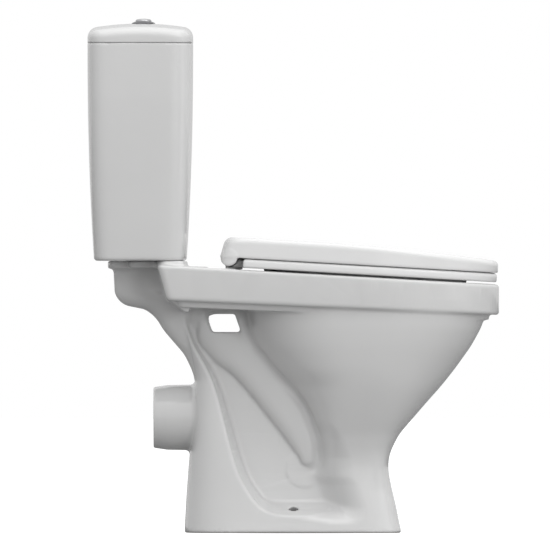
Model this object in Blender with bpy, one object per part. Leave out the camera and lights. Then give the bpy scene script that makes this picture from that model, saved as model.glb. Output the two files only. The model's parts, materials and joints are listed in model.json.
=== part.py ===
"""Close coupled toilet: a ceramic pan and cistern, the seat and its hinges, and the flush and fill valves.

Run with: blender --background --python part.py

Metres, +Z up. The toilet faces -Y and is symmetric about X = 0, apart from its fill valve. The floor is
Z = 0, and the origin lies under the middle of the object's box.
"""

import math

import bmesh
import bpy
from mathutils import Matrix, Vector

# Overall sizes.
DEPTH = 0.6576
FRONT_Y = -DEPTH / 2
BACK_Y = DEPTH / 2
GAP = 0.0003  # between pieces that touch
SIDES = (("right", 1), ("left", -1))

# The rim is a slab whose top slopes down to the front.
RIM_FRONT_TOP_Z = 0.3965
RIM_SLOPE = 0.0573
RIM_TILT = math.atan(RIM_SLOPE)
RIM_HALF_WIDTH = 0.181
RIM_WIDEST_Y = -0.100
RIM_REAR_Y = 0.2176
RIM_DEPTH = 0.0488
REAR_SQUARENESS = 14.0  # of the rim's and the seat's rear corners

# Rear platform, which the cistern stands on, and the flush chamber under it.
PLATFORM_TOP_Z = 0.4341
PLATFORM_BOTTOM_Z = 0.4225
PLATFORM_REAR_Y = 0.2648
PLATFORM_HALF_WIDTH = 0.165
CHAMBER_HALF_WIDTH = 0.058
CHAMBER_REAR_Y = 0.288
FLUSH_Y = 0.240  # axis of the flush valve and of the push buttons

# Horizontal sections of the foot and its rear column: height, front, rear, half width.
FOOT_SECTIONS = (
    (0.000, -0.1720, 0.1740, 0.118),
    (0.016, -0.1688, 0.1735, 0.115),
    (0.055, -0.1608, 0.1715, 0.109),
    (0.106, -0.1512, 0.1680, 0.104),
    (0.150, -0.1480, 0.1640, 0.098),
    (0.200, -0.1000, 0.1600, 0.086),
    (0.247, -0.0500, 0.1580, 0.072),
    (0.273, -0.0100, 0.1672, 0.066),
    (0.298, 0.0300, 0.1864, 0.061),
    (0.324, 0.0450, 0.2088, 0.058),
    (0.346, 0.0500, 0.2216, 0.057),
    (0.372, 0.0600, 0.2450, 0.057),
)

# Horizontal sections of the bowl's outside.
BOWL_SECTIONS = (
    (0.092, -0.1380, -0.048, 0.080),
    (0.118, -0.1524, -0.046, 0.097),
    (0.145, -0.1624, -0.044, 0.108),
    (0.183, -0.1912, -0.040, 0.124),
    (0.221, -0.2248, -0.018, 0.139),
    (0.260, -0.2568, 0.026, 0.152),
    (0.298, -0.2840, 0.056, 0.161),
    (0.327, -0.3000, 0.068, 0.166),
    (0.362, -0.3110, 0.074, 0.169),
)

# Horizontal sections of the bowl's inside, from the sump to above the rim.
BASIN_SECTIONS = (
    (0.150, -0.088, -0.040, 0.030),
    (0.180, -0.122, -0.037, 0.050),
    (0.215, -0.166, -0.032, 0.074),
    (0.260, -0.214, -0.004, 0.097),
    (0.310, -0.252, 0.032, 0.112),
    (0.360, -0.274, 0.050, 0.117),
    (0.385, -0.281, 0.056, 0.117),
    (0.440, -0.283, 0.058, 0.117),
)

# Trapway: a path in the plane X = 0, as (y, z), with a bore and a wall round it.
TRAP_PATH = (
    (-0.070, 0.215),
    (-0.050, 0.172),
    (-0.022, 0.148),
    (0.006, 0.172),
    (0.032, 0.212),
    (0.058, 0.243),
    (0.086, 0.256),
    (0.110, 0.240),
    (0.124, 0.212),
    (0.145, 0.190),
    (0.180, 0.1838),
    (0.245, 0.1838),
)
TRAP_BORE = 0.031
TRAP_OUTER = 0.048
OUTLET_Z = 0.1838
OUTLET_END_Y = 0.224
OUTLET_END_R = 0.0485
OUTLET_ROOT_R = 0.05175
OUTLET_BORE_R = 0.0405

# Side recess between the rear column and the front of the foot, as (y, z) round its edge.
RECESS_OUTLINE = (
    (0.160, 0.300),
    (0.143, 0.275),
    (0.127, 0.244),
    (0.113, 0.191),
    (0.100, 0.137),
    (0.087, 0.095),
    (0.072, 0.066),
    (0.052, 0.046),
    (0.030, 0.038),
    (-0.078, 0.038),
    (-0.079, 0.053),
    (-0.071, 0.079),
    (-0.060, 0.092),
    (-0.057, 0.142),
    (-0.050, 0.240),
    (0.060, 0.330),
    (0.140, 0.330),
)
RECESS_FLOOR_X = 0.037
FLOOR_HOLE_X = 0.082
FLOOR_HOLE_R = 0.0068

# Opening between the trapway and the rim, right through from side to side, as (y, z).
WINDOW_OUTLINE = ((0.1400, 0.3493), (0.0936, 0.3493), (0.0840, 0.3205), (0.1336, 0.3205))

# Cistern.
CISTERN_BOTTOM_Z = PLATFORM_TOP_Z + GAP
CISTERN_TOP_Z = 0.7813
CISTERN_TOP_HALF_WIDTH = 0.185
CISTERN_BOTTOM_HALF_WIDTH = 0.172
CISTERN_TOP_FRONT_Y = 0.1608
CISTERN_BOTTOM_FRONT_Y = 0.1712
CISTERN_BOTTOM_BACK_Y = 0.3184
CISTERN_WALL = 0.009
CISTERN_FLOOR = 0.012
CISTERN_FLOOR_Z = CISTERN_BOTTOM_Z + CISTERN_FLOOR
CISTERN_LID_EDGE_Z = 0.7960
CISTERN_LID_TOP_Z = 0.8138
BUTTON_TOP_Z = 0.8218

# Bolts that clamp the cistern to the platform.
COUPLING_BOLT_X = 0.081
COUPLING_BOLT_Y = 0.201
POCKET_TOP_Z = 0.409  # underside of the platform round those bolts

# Seat: its frame has its origin on the hinge axis and its XY plane parallel to the rim's top.
HINGE_AXIS = Vector((0.0, 0.1032, 0.4400))
RIM_LEVEL = -0.0184  # the rim's top, in the seat's frame
SEAT_FRAME = Matrix.Translation(HINGE_AXIS) @ Matrix.Rotation(RIM_TILT, 4, "X")
SEAT_FRONT = 0.4320  # from the hinge axis to the front edge
SEAT_HALF_WIDTH = 0.1815
SEAT_WIDEST = 0.205
RING_REAR = 0.0230
RING_BOTTOM = RIM_LEVEL + 0.0020
RING_TOP = RING_BOTTOM + 0.0150
RING_CROWN = 0.0018  # how far the ring's top rises inside its edge
RING_SKIRT = RIM_LEVEL - 0.0040  # the inner edge hangs down into the rim's opening
RING_HOLE_FRONT = -0.3780
RING_HOLE_REAR = -0.0605
RING_HOLE_HALF_WIDTH = 0.1080
SEAT_LID_BOTTOM = RING_TOP + 0.0011
SEAT_LID_TOP = 0.0322
SEAT_LID_FRONT_TOP = 0.0185
SEAT_LID_WALL = 0.004
HOOK_R = 0.0140
PIN_R = 0.0040
LUG_X = (0.058, 0.070)
POST_X = (0.0712, 0.0868)
LID_BARREL_X = 0.0880
HINGE_BOLT_FORWARD = 0.0158  # from the hinge axis to the bolt that holds the hinge down
HINGE_PLATE = 0.0034  # thickness of the hinge's foot
HINGE_BOLT_FOOT = SEAT_FRAME @ Vector((0.0, -HINGE_BOLT_FORWARD, RIM_LEVEL))

# Flush valve, on the axis X = 0, Y = FLUSH_Y.
TAIL_R = 0.027
TAIL_BORE_R = 0.0225
VALVE_SEAT_Z = 0.4610
VALVE_TOP_Z = 0.6620
OVERFLOW_TOP_Z = 0.6300

# Fill valve.
FILL_X = 0.128
FILL_Y = 0.245
FILL_TAIL_R = 0.010
FILL_HEAD_Z = 0.700

# Push buttons.
BUTTON_R = 0.0128
HOUSING_R = 0.0150
HOUSING_FLOOR_Z = 0.7800
BUTTON_SPLIT = 0.0004
ROD_X = 0.0070
ROD_R = 0.0020
ROD_BOTTOM_Z = VALVE_TOP_Z + 0.0085


# Materials


def make_material(name, colour, roughness, metallic=0.0):
    material = bpy.data.materials.new(name)
    material.use_nodes = True
    shader = material.node_tree.nodes["Principled BSDF"]
    shader.inputs["Base Color"].default_value = (*colour, 1.0)
    shader.inputs["Roughness"].default_value = roughness
    shader.inputs["Metallic"].default_value = metallic
    material.diffuse_color = (*colour, 1.0)
    return material


# Mesh tools


def empty_scene():
    for obj in list(bpy.data.objects):
        bpy.data.objects.remove(obj, do_unlink=True)


def add_object(name, mesh_data, material, matrix=None):
    """A mesh object from a bmesh, smooth where its faces nearly line up."""
    bmesh.ops.recalc_face_normals(mesh_data, faces=mesh_data.faces)
    if mesh_data.calc_volume(signed=True) < 0:
        bmesh.ops.reverse_faces(mesh_data, faces=mesh_data.faces)
    mesh = bpy.data.meshes.new(name)
    mesh_data.to_mesh(mesh)
    mesh_data.free()
    mesh.shade_smooth()
    mesh.set_sharp_from_angle(angle=math.radians(35))
    mesh.materials.append(material)
    obj = bpy.data.objects.new(name, mesh)
    bpy.context.scene.collection.objects.link(obj)
    if matrix is not None:
        obj.matrix_world = matrix
    return obj


def hide_helper(obj):
    obj.hide_render = True
    obj.display_type = "WIRE"


def boolean(target, helper, operation):
    """A Boolean modifier. The pan's crossing curved walls need the MANIFOLD solver to stay closed."""
    hide_helper(helper)
    modifier = target.modifiers.new(helper.name, "BOOLEAN")
    modifier.operation = operation
    modifier.solver = "MANIFOLD" if target.name.startswith("pan") else "EXACT"
    modifier.object = helper


def fuse(target, *helpers):
    for helper in helpers:
        boolean(target, helper, "UNION")


def cut(target, *helpers):
    for helper in helpers:
        boolean(target, helper, "DIFFERENCE")


def loft(rings, cyclic=False):
    """Skins rings of points that all have the same count, and caps both ends unless it is cyclic."""
    shape = bmesh.new()
    rows = [[shape.verts.new(point) for point in ring] for ring in rings]
    count = len(rows[0])
    pairs = list(zip(rows, rows[1:]))
    if cyclic:
        pairs.append((rows[-1], rows[0]))
    for lower, upper in pairs:
        for i in range(count):
            j = (i + 1) % count
            shape.faces.new((lower[i], lower[j], upper[j], upper[i]))
    if not cyclic:
        shape.faces.new(reversed(rows[0]))
        shape.faces.new(rows[-1])
    return shape


def signed_power(value, power):
    return math.copysign(abs(value) ** power, value)


def oval(front, rear, half_width, z=0.0, middle=None, front_power=2.3, rear_power=3.0, count=28):
    """A closed outline at height z: a superellipse in front of its widest place and another behind it."""
    if middle is None:
        middle = (front + rear) / 2
    points = []
    for i in range(count):
        angle = 2 * math.pi * i / count
        along, across = -math.cos(angle), math.sin(angle)
        power = front_power if along < 0 else rear_power
        reach = middle - front if along < 0 else rear - middle
        points.append(
            (
                half_width * signed_power(across, 2 / power),
                middle + reach * signed_power(along, 2 / power),
                z,
            )
        )
    return points


def turned(profile, sides=20, centre=(0.0, 0.0)):
    """A solid of revolution about the vertical line at centre. The profile is (radius, z), and closes."""
    shape = bmesh.new()
    rows = []
    for radius, z in profile:
        if radius == 0:
            rows.append([shape.verts.new((centre[0], centre[1], z))])
            continue
        rows.append(
            [
                shape.verts.new(
                    (
                        centre[0] + radius * math.cos(2 * math.pi * i / sides),
                        centre[1] + radius * math.sin(2 * math.pi * i / sides),
                        z,
                    )
                )
                for i in range(sides)
            ]
        )
    for lower, upper in zip(rows, rows[1:] + rows[:1]):
        if len(lower) == 1 and len(upper) == 1:
            continue
        for i in range(sides):
            j = (i + 1) % sides
            corners = [lower[i % len(lower)], lower[j % len(lower)]]
            corners += [upper[j % len(upper)], upper[i % len(upper)]]
            shape.faces.new(list(dict.fromkeys(corners)))
    return shape


def disc(radius, bottom, top, sides=20, centre=(0.0, 0.0)):
    return turned(((0, bottom), (radius, bottom), (radius, top), (0, top)), sides, centre)


def washer(inner, outer, bottom, top, sides=20, centre=(0.0, 0.0)):
    return turned(((inner, bottom), (outer, bottom), (outer, top), (inner, top)), sides, centre)


def block(low, high, bevel=0.0):
    """A box between two corners, with all of its edges bevelled."""
    shape = bmesh.new()
    bmesh.ops.create_cube(shape, size=1.0)
    size = [b - a for a, b in zip(low, high)]
    middle = [(a + b) / 2 for a, b in zip(low, high)]
    bmesh.ops.scale(shape, vec=size, verts=shape.verts)
    bmesh.ops.translate(shape, vec=middle, verts=shape.verts)
    if bevel:
        bmesh.ops.bevel(shape, geom=shape.edges[:], offset=bevel, segments=2, affect="EDGES")
    return shape


def side_prism(outline, low_x, high_x):
    """An outline of (y, z) points, extruded along X."""
    return loft([[(x, y, z) for y, z in outline] for x in (low_x, high_x)])


def rounded(outline, radius, steps=4):
    """The outline with each of its corners turned into an arc."""
    points = []
    for i, corner in enumerate(outline):
        here = Vector(corner)
        before = (Vector(outline[i - 1]) - here).normalized()
        after = (Vector(outline[(i + 1) % len(outline)]) - here).normalized()
        half = before.angle(after) / 2
        centre = here + (before + after).normalized() * radius / math.sin(half)
        start = here + before * radius / math.tan(half) - centre
        end = here + after * radius / math.tan(half) - centre
        for step in range(steps + 1):
            turn = start.lerp(end, step / steps).normalized() * radius
            points.append(tuple(centre + turn))
    return points


def smooth_path(points, steps=2):
    """Points along a Catmull-Rom curve through the given (y, z) points."""
    points = [Vector(point) for point in points]
    padded = [2 * points[0] - points[1], *points, 2 * points[-1] - points[-2]]
    path = []
    for a, b, c, d in zip(padded, padded[1:], padded[2:], padded[3:]):
        for step in range(steps):
            t = step / steps
            bend = 2 * a - 5 * b + 4 * c - d
            turn = 3 * b - a - 3 * c + d
            path.append(0.5 * (2 * b + (c - a) * t + bend * t**2 + turn * t**3))
    return [*path, points[-1]]


def swept_tube(path, radius, sides=16):
    """A round bar along a path of (y, z) points in the plane X = 0."""
    rings = []
    for i, point in enumerate(path):
        along = (path[min(i + 1, len(path) - 1)] - path[max(i - 1, 0)]).normalized()
        up = Vector((-along.y, along.x))
        ring = []
        for k in range(sides):
            angle = 2 * math.pi * k / sides
            offset = up * math.sin(angle) * radius
            ring.append((math.cos(angle) * radius, point.x + offset.x, point.y + offset.y))
        rings.append(ring)
    return loft(rings)


def cross_cylinder(radius, low_x, high_x, sides=16):
    """A cylinder along X."""
    circle = [
        (radius * math.cos(2 * math.pi * i / sides), radius * math.sin(2 * math.pi * i / sides))
        for i in range(sides)
    ]
    return side_prism(circle, low_x, high_x)


def coil(radius, wire_radius, bottom, top, turns, centre, steps=8, sides=5):
    """A helical spring with its axis vertical."""
    rings = []
    last = turns * steps
    rise = (top - bottom - 2 * wire_radius) / last
    for i in range(last + 1):
        angle = 2 * math.pi * i / steps
        outward = Vector((math.cos(angle), math.sin(angle), 0))
        middle = Vector((*centre, bottom + wire_radius + rise * i)) + outward * radius
        ring = []
        for k in range(sides):
            around = 2 * math.pi * k / sides
            offset = outward * math.cos(around) + Vector((0, 0, math.sin(around)))
            ring.append(middle + offset * wire_radius)
        rings.append(ring)
    return loft(rings)


def rim_top(y):
    """Height of the rim's top at y."""
    return RIM_FRONT_TOP_Z + RIM_SLOPE * (y - FRONT_Y)


# Pan


def section_rings(sections, front_power, rear_power, count=28):
    return [
        oval(front, rear, half, z, front_power=front_power, rear_power=rear_power, count=count)
        for z, front, rear, half in sections
    ]


def rim_ring(inset, drop, count=36):
    """The rim's outline, inset and lowered from its top edge."""
    rear = RIM_REAR_Y - inset - 0.28 * drop
    outline = oval(
        FRONT_Y + inset,
        rear,
        RIM_HALF_WIDTH - inset,
        middle=RIM_WIDEST_Y,
        front_power=2.25,
        rear_power=REAR_SQUARENESS,
        count=count,
    )
    return [(x, y, rim_top(y) - drop * (1 + 0.18 * (y - FRONT_Y) / DEPTH)) for x, y, _ in outline]


def make_pan(ceramic):
    pan = add_object("pan", loft(section_rings(FOOT_SECTIONS, 3.4, 3.4)), ceramic)
    cut_foot(pan, ceramic)
    bowl = add_object("pan_bowl", loft(section_rings(BOWL_SECTIONS, 2.5, 2.5)), ceramic)
    trap = add_object("pan_trap", swept_tube(smooth_path(TRAP_PATH[2:8]), TRAP_OUTER), ceramic)
    rim = make_rim(ceramic)
    web = add_object("pan_web", block((-0.042, 0.050, 0.280), (0.042, 0.165, 0.372), 0.004), ceramic)
    length, taper_start, taper_end = 0.084, 0.040, 0.062
    spigot = turned(
        (
            (0, 0.0),
            (OUTLET_ROOT_R, 0.0),
            (OUTLET_ROOT_R, taper_start),
            (OUTLET_END_R, taper_end),
            (OUTLET_END_R, length),
            (0, length),
        ),
        24,
    )
    root = Matrix.Translation((0, OUTLET_END_Y - length, OUTLET_Z))
    outlet = add_object("pan_outlet", spigot, ceramic, root @ Matrix.Rotation(-math.pi / 2, 4, "X"))
    fuse(pan, bowl, trap, rim, web, outlet)
    cut_water_ways(pan, ceramic)
    cut_fixing_holes(pan, ceramic)
    return pan


def cut_foot(pan, ceramic):
    """The recess on each side, and the shallow hollow under the foot."""
    for name, side in SIDES:
        low, high = sorted((side * RECESS_FLOOR_X, side * 0.2))
        recess = side_prism(rounded(RECESS_OUTLINE, 0.0015, 1), low, high)
        cut(pan, add_object("pan_recess_" + name, recess, ceramic))
    hollow = loft(
        [
            oval(-0.158, 0.160, 0.104, -0.001, front_power=3.4, rear_power=3.4),
            oval(-0.154, 0.156, 0.100, 0.018, front_power=3.4, rear_power=3.4),
        ]
    )
    cut(pan, add_object("pan_foot_hollow", hollow, ceramic))


def make_rim(ceramic):
    """The rim slab, with the platform and the flush chamber behind it."""
    edge = 0.004
    rings = [
        rim_ring(edge, RIM_DEPTH),
        rim_ring(0.0, RIM_DEPTH - edge),
        rim_ring(0.0, edge),
        rim_ring(edge, 0.0),
    ]
    rim = add_object("pan_rim", loft(rings), ceramic)
    for name, side in SIDES:
        low, high = sorted((side * 0.050, side * 0.154))
        pocket = block((low, 0.058, 0.30), (high, 0.240, POCKET_TOP_Z), 0.004)
        cut(rim, add_object("pan_pocket_" + name, pocket, ceramic))
    heights = (PLATFORM_BOTTOM_Z, PLATFORM_TOP_Z)
    wide_shape = dict(middle=0.200, front_power=8, rear_power=3, count=28)
    wide = loft([oval(0.172, 0.2250, PLATFORM_HALF_WIDTH, z, **wide_shape) for z in heights])
    rear_shape = dict(front_power=6, rear_power=6, count=20)
    rear = loft([oval(0.160, PLATFORM_REAR_Y, 0.104, z, **rear_shape) for z in heights])
    seat = block((-0.104, 0.174, POCKET_TOP_Z), (0.104, 0.215, PLATFORM_TOP_Z), 0.003)
    lip = loft(
        [
            oval(0.150, 0.2968 - inset, 0.070 - inset, z, front_power=6, rear_power=6, count=20)
            for z, inset in ((0.422, 0.004), (0.426, 0.0), (PLATFORM_TOP_Z, 0.0))
        ]
    )
    chamber = loft(
        [
            oval(0.140, rear, half, z, front_power=8, rear_power=5, count=20)
            for z, rear, half in (
                (0.3560, 0.238, 0.044),
                (0.3600, 0.258, 0.051),
                (0.3670, 0.276, 0.056),
                (0.3780, 0.283, 0.058),
                (0.4230, CHAMBER_REAR_Y, 0.058),
            )
        ]
    )
    fuse(
        rim,
        add_object("pan_platform_wide", wide, ceramic),
        add_object("pan_platform", rear, ceramic),
        add_object("pan_bolt_seat", seat, ceramic),
        add_object("pan_chamber", chamber, ceramic),
        add_object("pan_platform_lip", lip, ceramic),
    )
    return rim


def cut_water_ways(pan, ceramic):
    """The basin, the trapway through to the outlet, and the flush channel from the chamber to the basin."""
    basin = add_object("pan_basin", loft(section_rings(BASIN_SECTIONS, 2.3, 2.3, 24)), ceramic)
    bore = add_object("pan_bore", swept_tube(smooth_path(TRAP_PATH, 1), TRAP_BORE, 12), ceramic)
    end_bore = cross_cylinder(OUTLET_BORE_R, 0.184, 0.240, sides=24)
    facing = Matrix.Translation((0, 0, OUTLET_Z)) @ Matrix.Rotation(math.pi / 2, 4, "Z")
    outlet_bore = add_object("pan_outlet_bore", end_bore, ceramic, facing)
    window = add_object("pan_window", side_prism(rounded(WINDOW_OUTLINE, 0.004), -0.1, 0.1), ceramic)
    well = add_object("pan_well", block((-0.046, 0.168, 0.372), (0.046, 0.272, 0.412), 0.006), ceramic)
    channel = add_object("pan_channel", block((-0.030, 0.005, 0.378), (0.030, 0.180, 0.398), 0.004), ceramic)
    centre = (0.0, FLUSH_Y)
    inlet = add_object("pan_inlet", disc(0.038, 0.400, 0.450, 24, centre), ceramic)
    gasket_seat = add_object("pan_gasket_seat", disc(0.052, 0.426, 0.450, 24, centre), ceramic)
    cut(pan, basin, bore, outlet_bore, window, well, channel, inlet, gasket_seat)


def cut_fixing_holes(pan, ceramic):
    """Vertical holes for the cistern's bolts, the seat's bolts and the floor screws."""
    middle_x = sum(POST_X) / 2
    for name, side in SIDES:
        coupling = disc(0.0060, 0.39, 0.45, 16, (side * COUPLING_BOLT_X, COUPLING_BOLT_Y))
        hinge = disc(0.0060, 0.38, 0.45, 16, (side * middle_x, HINGE_BOLT_FOOT.y))
        screw = disc(FLOOR_HOLE_R, -0.01, 0.06, 16, (side * FLOOR_HOLE_X, 0.0))
        cut(
            pan,
            add_object("pan_coupling_hole_" + name, coupling, ceramic),
            add_object("pan_hinge_hole_" + name, hinge, ceramic),
            add_object("pan_floor_hole_" + name, screw, ceramic),
        )


# Cistern and its lid


def cistern_ring(z, inset=0.0, count=28):
    """A horizontal section of the cistern, which narrows downwards with slightly bowed sides."""
    height = (z - CISTERN_BOTTOM_Z) / (CISTERN_TOP_Z - CISTERN_BOTTOM_Z)
    widen = 1 - (1 - min(max(height, 0.0), 1.0)) ** 2.2
    half = CISTERN_BOTTOM_HALF_WIDTH + (CISTERN_TOP_HALF_WIDTH - CISTERN_BOTTOM_HALF_WIDTH) * widen
    front = CISTERN_BOTTOM_FRONT_Y + (CISTERN_TOP_FRONT_Y - CISTERN_BOTTOM_FRONT_Y) * widen
    back = CISTERN_BOTTOM_BACK_Y + (BACK_Y - CISTERN_BOTTOM_BACK_Y) * widen
    return oval(front + inset, back - inset, half - inset, z, front_power=7, rear_power=9, count=count)


def make_cistern(ceramic):
    heights = [CISTERN_BOTTOM_Z + 0.004, 0.50, 0.62, CISTERN_TOP_Z]
    shell = loft([cistern_ring(CISTERN_BOTTOM_Z, 0.004)] + [cistern_ring(z) for z in heights])
    cistern = add_object("cistern", shell, ceramic)
    inner_heights = [CISTERN_FLOOR_Z, 0.50, 0.62, CISTERN_TOP_Z + 0.01]
    inside = loft([cistern_ring(z, CISTERN_WALL) for z in inner_heights])
    cut(cistern, add_object("cistern_inside", inside, ceramic))
    low, high = CISTERN_BOTTOM_Z - 0.01, CISTERN_FLOOR_Z + 0.01
    holes = [
        ("flush", TAIL_R + 0.0015, (0, FLUSH_Y)),
        ("fill", FILL_TAIL_R + 0.0015, (FILL_X, FILL_Y)),
    ]
    for name, side in SIDES:
        holes.append(("bolt_" + name, 0.0060, (side * COUPLING_BOLT_X, COUPLING_BOLT_Y)))
    for name, radius, centre in holes:
        hole = disc(radius, low, high, 24, centre)
        cut(cistern, add_object("cistern_hole_" + name, hole, ceramic))
    return cistern


def lid_ring(z, inset):
    return [(x, y, z) for x, y, _ in cistern_ring(CISTERN_TOP_Z, inset)]


def make_cistern_lid(ceramic):
    bottom = CISTERN_TOP_Z + GAP
    outside = loft(
        [
            lid_ring(bottom, 0.0),
            lid_ring(CISTERN_LID_EDGE_Z, 0.0),
            lid_ring(CISTERN_LID_EDGE_Z + 0.008, 0.003),
            lid_ring(CISTERN_LID_TOP_Z - 0.0055, 0.010),
            lid_ring(CISTERN_LID_TOP_Z - 0.0015, 0.034),
            lid_ring(CISTERN_LID_TOP_Z, 0.062),
        ]
    )
    lid = add_object("cistern_lid", outside, ceramic)
    lip = loft([lid_ring(bottom - 0.012, 0.0145), lid_ring(bottom + 0.004, 0.0125)])
    inside = loft(
        [lid_ring(bottom - 0.02, 0.0205), lid_ring(bottom + 0.012, 0.0205), lid_ring(0.8030, 0.036)]
    )
    hole = disc(HOUSING_R + 0.0012, 0.78, 0.83, 24, (0, FLUSH_Y))
    fuse(lid, add_object("cistern_lid_lip", lip, ceramic))
    cut(
        lid,
        add_object("cistern_lid_inside", inside, ceramic),
        add_object("cistern_lid_hole", hole, ceramic),
    )
    return lid


# Coupling between pan and cistern


def make_coupling(rubber, brass, steel, plastic):
    centre = (0.0, FLUSH_Y)
    add_object("coupling_gasket", washer(0.039, 0.0505, 0.4263, PLATFORM_TOP_Z - GAP, 24, centre), rubber)
    make_nut("flush_valve_backnut", plastic, TAIL_R, 0.0365, 0.4235, 0.4335, 12, centre)
    for name, side in SIDES:
        at = (side * COUPLING_BOLT_X, COUPLING_BOLT_Y)
        washer_top = CISTERN_FLOOR_Z + GAP + 0.004
        bolt = turned(
            (
                (0, 0.3880),
                (0.0036, 0.3880),
                (0.0040, 0.3900),
                (0.0040, washer_top + GAP),
                (0.0095, washer_top + GAP),
                (0.0085, washer_top + 0.0055),
                (0, washer_top + 0.0060),
            ),
            16,
            at,
        )
        add_object("coupling_bolt_" + name, bolt, brass)
        soft = washer(0.0043, 0.0125, CISTERN_FLOOR_Z + GAP, washer_top, 20, at)
        add_object("coupling_rubber_washer_" + name, soft, rubber)
        under = POCKET_TOP_Z - GAP
        hard = washer(0.0043, 0.0115, under - 0.0016, under, 20, at)
        add_object("coupling_steel_washer_" + name, hard, steel)
        make_wing_nut("coupling_wing_nut_" + name, brass, at, under - 0.0016 - GAP)


def make_nut(name, material, thread_radius, outer, bottom, top, sides, at):
    """A nut with flat sides and a round bore."""
    nut = add_object(name, disc(outer, bottom, top, sides, at), material)
    bore = disc(thread_radius + GAP, bottom - 0.001, top + 0.001, 32, at)
    cut(nut, add_object(name + "_bore", bore, material))
    return nut


def make_wing_nut(name, material, at, top):
    """A nut that hangs down from top, with two wings."""
    hub = add_object(name, washer(0.0043, 0.0078, top - 0.0085, top, 12, at), material)
    for wing, side in SIDES:
        near, far = sorted((side * 0.0060, side * 0.0155))
        low = (at[0] + near, at[1] - 0.0014, top - 0.0125)
        high = (at[0] + far, at[1] + 0.0014, top - 0.0010)
        fuse(hub, add_object(f"{name}_{wing}_wing", block(low, high), material))
    return hub


# Flush valve and fill valve


def make_flush_valve(plastic, red_plastic, rubber):
    centre = (0.0, FLUSH_Y)
    seal_bottom = CISTERN_FLOOR_Z + GAP
    flange = seal_bottom + 0.003 + GAP
    seal = washer(TAIL_R + GAP, 0.0415, seal_bottom, flange - GAP, 24, centre)
    add_object("flush_valve_seal", seal, rubber)
    base = turned(
        (
            (TAIL_BORE_R, 0.3980),
            (TAIL_R, 0.3980),
            (TAIL_R, flange),
            (0.0420, flange),
            (0.0420, flange + 0.005),
            (0.0290, flange + 0.005),
            (0.0265, VALVE_SEAT_Z),
            (TAIL_BORE_R, VALVE_SEAT_Z),
        ),
        24,
        centre,
    )
    add_object("flush_valve_base", base, plastic)
    make_valve_cage(plastic, flange + 0.005 + GAP)
    tube_bottom = VALVE_SEAT_Z + 0.0034
    tube = turned(
        (
            (0.0115, tube_bottom),
            (0.0270, tube_bottom),
            (0.0270, tube_bottom + 0.003),
            (0.0160, tube_bottom + 0.006),
            (0.0140, tube_bottom + 0.020),
            (0.0140, OVERFLOW_TOP_Z),
            (0.0115, OVERFLOW_TOP_Z),
        ),
        24,
        centre,
    )
    add_object("overflow_tube", tube, red_plastic)
    add_object(
        "flush_seal", washer(0.0115, 0.0280, VALVE_SEAT_Z + GAP, tube_bottom - GAP, 24, centre), rubber
    )


def make_valve_cage(plastic, bottom):
    """Legs on a ring, which carry a closed tower round the overflow tube."""
    centre = (0.0, FLUSH_Y)
    shoulder = 0.560
    cage = turned(
        (
            (0.0180, shoulder),
            (0.0420, shoulder),
            (0.0420, shoulder + 0.006),
            (0.0290, shoulder + 0.012),
            (0.0290, VALVE_TOP_Z - 0.004),
            (0.0250, VALVE_TOP_Z),
            (0, VALVE_TOP_Z),
            (0, VALVE_TOP_Z - 0.004),
            (0.0250, VALVE_TOP_Z - 0.006),
            (0.0250, shoulder + 0.006),
            (0.0180, shoulder + 0.006),
        ),
        24,
        centre,
    )
    body = add_object("flush_valve_body", cage, plastic)
    foot = washer(0.0340, 0.0430, bottom, bottom + 0.008, 24, centre)
    fuse(body, add_object("flush_valve_foot", foot, plastic))
    for i in range(4):
        leg = block((0.0345, -0.007, bottom + 0.004), (0.0405, 0.007, shoulder + 0.003))
        turn = Matrix.Rotation(math.radians(45 + 90 * i), 4, "Z")
        place = Matrix.Translation((0, FLUSH_Y, 0)) @ turn
        fuse(body, add_object(f"flush_valve_leg_{i}", leg, plastic, place))


def make_fill_valve(plastic, dark_plastic, rubber):
    centre = (FILL_X, FILL_Y)
    seal_bottom = CISTERN_FLOOR_Z + GAP
    flange = seal_bottom + 0.003 + GAP
    seal = washer(FILL_TAIL_R + GAP, 0.0170, seal_bottom, flange - GAP, 24, centre)
    add_object("fill_valve_seal", seal, rubber)
    nut_top = CISTERN_BOTTOM_Z - GAP
    make_nut("fill_valve_backnut", plastic, FILL_TAIL_R, 0.0175, nut_top - 0.010, nut_top, 6, centre)
    body = turned(
        (
            (0.0065, 0.3950),
            (FILL_TAIL_R, 0.3950),
            (FILL_TAIL_R, flange),
            (0.0175, flange),
            (0.0175, flange + 0.004),
            (0.0110, flange + 0.006),
            (0.0110, 0.577),
            (0.0135, 0.579),
            (0.0135, 0.587),
            (0.0110, 0.589),
            (0.0110, FILL_HEAD_Z),
            (0.0065, FILL_HEAD_Z),
        ),
        24,
        centre,
    )
    add_object("fill_valve_body", body, plastic)
    float_cup = turned(
        (
            (0.0125, 0.5900),
            (0.0290, 0.5900),
            (0.0300, 0.5920),
            (0.0300, 0.6480),
            (0.0275, 0.6480),
            (0.0275, 0.5950),
            (0.0150, 0.5950),
            (0.0150, 0.6480),
            (0.0125, 0.6480),
        ),
        20,
        centre,
    )
    add_object("fill_valve_float", float_cup, dark_plastic)
    head = FILL_HEAD_Z + GAP
    cap = turned(
        (
            (0, head),
            (0.0200, head),
            (0.0200, head + 0.016),
            (0.0170, head + 0.022),
            (0, head + 0.022),
        ),
        20,
        centre,
    )
    add_object("fill_valve_cap", cap, dark_plastic)


# Push buttons


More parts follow.
